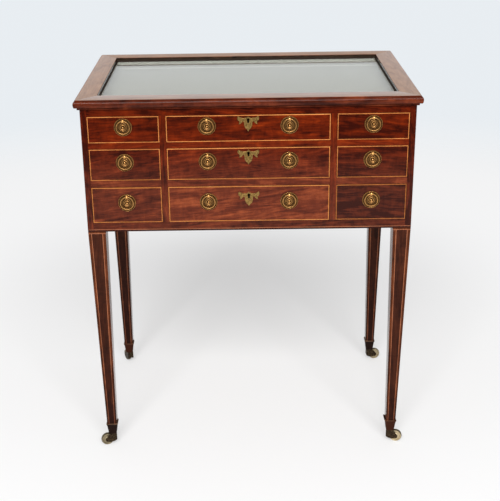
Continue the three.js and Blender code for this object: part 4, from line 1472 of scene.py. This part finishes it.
# Directions between which the surround turns pale: behind the table, above it and well above it
BEHIND_STEPS = (-0.8, -0.3)
ABOVE_STEPS = (0.1, 0.5)
OVERHEAD_STEPS = (0.16, 0.28)
IMAGE_WIDTH = 500
IMAGE_HEIGHT = 501
SENSOR_WIDTH = 36
CAMERA_PLACE = (-0.01598, -2.1401, 1.2303)
CAMERA_FOCAL_PIXELS = 1044.6
CAMERA_CENTRE_PIXELS = (233.2, 251.1)
CAMERA_DOWN = 0.3825
CAMERA_YAW = 0.0085
CAMERA_ROLL = -0.0165
LAMP_TARGET = (0, 0, 0.5)
# Each lamp's place, size and power in watts
LAMPS = {
    "key": ((-0.9, -4.7, 4.2), 2.4, 218),
    "fill": ((1.2, -4.7, 4.0), 2.4, 168),
}


def floor_material():
    """A plain pale floor that fades into the backdrop."""
    material, tree, shader = new_material("floor", Roughness=0.75, Specular_IOR_Level=0.2)
    reach = add_node(tree, "VectorMath", {0: object_place(tree)}, operation="LENGTH").outputs["Value"]
    paleness = weighted_sum(tree, (noise(tree, *FLOOR_CLOUDS), CLOUD_SHARE), (reach, REACH_SHARE))
    colour = ramp(tree, paleness, *zip(PALENESS_STOPS, FLOOR_COLOURS))
    dress(tree, shader, Base_Color=colour)
    plain = add_node(tree, "Emission", {"Color": colour})
    camera_ray = add_node(tree, "LightPath").outputs["Is Camera Ray"]
    far = maths(tree, "MULTIPLY", smooth_step(tree, reach, *PLAIN_STEPS), FAR_PLAIN_SHARE)
    plain_share = maths(tree, "MULTIPLY", camera_ray, maths(tree, "ADD", far, NEAR_PLAIN_SHARE))
    pale = add_node(tree, "MixShader", {0: plain_share, 1: shader.outputs[0], 2: plain.outputs[0]})
    clear = add_node(tree, "BsdfTransparent")
    fade = smooth_step(tree, reach, *FADE_STEPS)
    show(tree, add_node(tree, "MixShader", {0: fade, 1: pale.outputs[0], 2: clear.outputs[0]}))
    return material


def build_floor():
    """The floor that keeps the table's shadow."""
    shape = bmesh.new()
    bmesh.ops.create_circle(shape, cap_ends=True, radius=FLOOR_RADIUS, segments=FLOOR_FACETS)
    material = floor_material()
    object_from(shape, "floor", [material])


def build_world():
    """A pale surround, which glass and metal mirror dimmer overhead and low on the viewer's side."""
    world = bpy.data.worlds.new("studio")
    bpy.context.scene.world = world
    world.use_nodes = True
    tree = world.node_tree
    rays = add_node(tree, "LightPath")
    seen_directly = rays.outputs["Is Camera Ray"]
    towards = add_node(tree, "SeparateXYZ", {0: add_node(tree, "TexCoord").outputs["Generated"]}).outputs
    behind = smooth_step(tree, towards["Y"], *BEHIND_STEPS)
    above = smooth_step(tree, towards["Z"], *ABOVE_STEPS)
    pale = maths(tree, "MAXIMUM", maths(tree, "MAXIMUM", behind, above), seen_directly)
    mirrored = maths(tree, "SUBTRACT", 1, seen_directly)
    overhead = maths(tree, "MULTIPLY", smooth_step(tree, towards["Z"], *OVERHEAD_STEPS), mirrored)
    seen = mix_colour(tree, pale, ROOM_COLOUR, mix_colour(tree, overhead, BACKDROP_COLOUR, OVERHEAD_COLOUR))
    colour = mix_colour(tree, rays.outputs["Is Diffuse Ray"], seen, AMBIENT_COLOUR)
    set_input(tree, tree.nodes["Background"].inputs["Color"], colour)


def add_lamp(name, place, size, power):
    """A square soft lamp that faces the table."""
    data = bpy.data.lights.new(name, "AREA")
    data.size = size
    data.energy = power
    lamp = bpy.data.objects.new(name, data)
    lamp.location = place
    lamp.rotation_mode = "QUATERNION"
    lamp.rotation_quaternion = (Vector(LAMP_TARGET) - Vector(place)).to_track_quat("-Z", "Y")
    bpy.context.scene.collection.objects.link(lamp)


def build_camera():
    """The photograph's viewpoint."""
    data = bpy.data.cameras.new("camera")
    longest = max(IMAGE_WIDTH, IMAGE_HEIGHT)
    data.sensor_width = SENSOR_WIDTH
    data.lens = CAMERA_FOCAL_PIXELS * SENSOR_WIDTH / longest
    data.shift_x = (IMAGE_WIDTH / 2 - CAMERA_CENTRE_PIXELS[0]) / longest
    data.shift_y = (CAMERA_CENTRE_PIXELS[1] - IMAGE_HEIGHT / 2) / longest
    camera = bpy.data.objects.new("camera", data)
    camera.matrix_world = (Matrix.Translation(CAMERA_PLACE) @ Matrix.Rotation(CAMERA_YAW, 4, "Z")
                           @ Matrix.Rotation(math.pi / 2 - CAMERA_DOWN, 4, "X")
                           @ Matrix.Rotation(CAMERA_ROLL, 4, "Z"))
    bpy.context.scene.collection.objects.link(camera)
    bpy.context.scene.camera = camera


build_floor()
build_world()
for lamp_name, lamp_settings in LAMPS.items():
    add_lamp(lamp_name, *lamp_settings)
build_camera()
build_lid()
build_uprights()
build_rails()
build_carcase_string()
build_carcase_sides()
build_carcase_inside()
build_tray()
for row_name in ROWS:
    for column_name in COLUMNS:
        build_drawer(row_name, column_name)
        for handle_name in HANDLES[column_name]:
            build_handle(row_name, column_name, handle_name)
    build_lock_plate(row_name)
for corner_name in CORNERS:
    build_leg(corner_name)
    build_cup(corner_name)
    build_horn(corner_name)
    build_wheel(corner_name)

bpy.context.scene.view_settings.view_transform = "Standard"
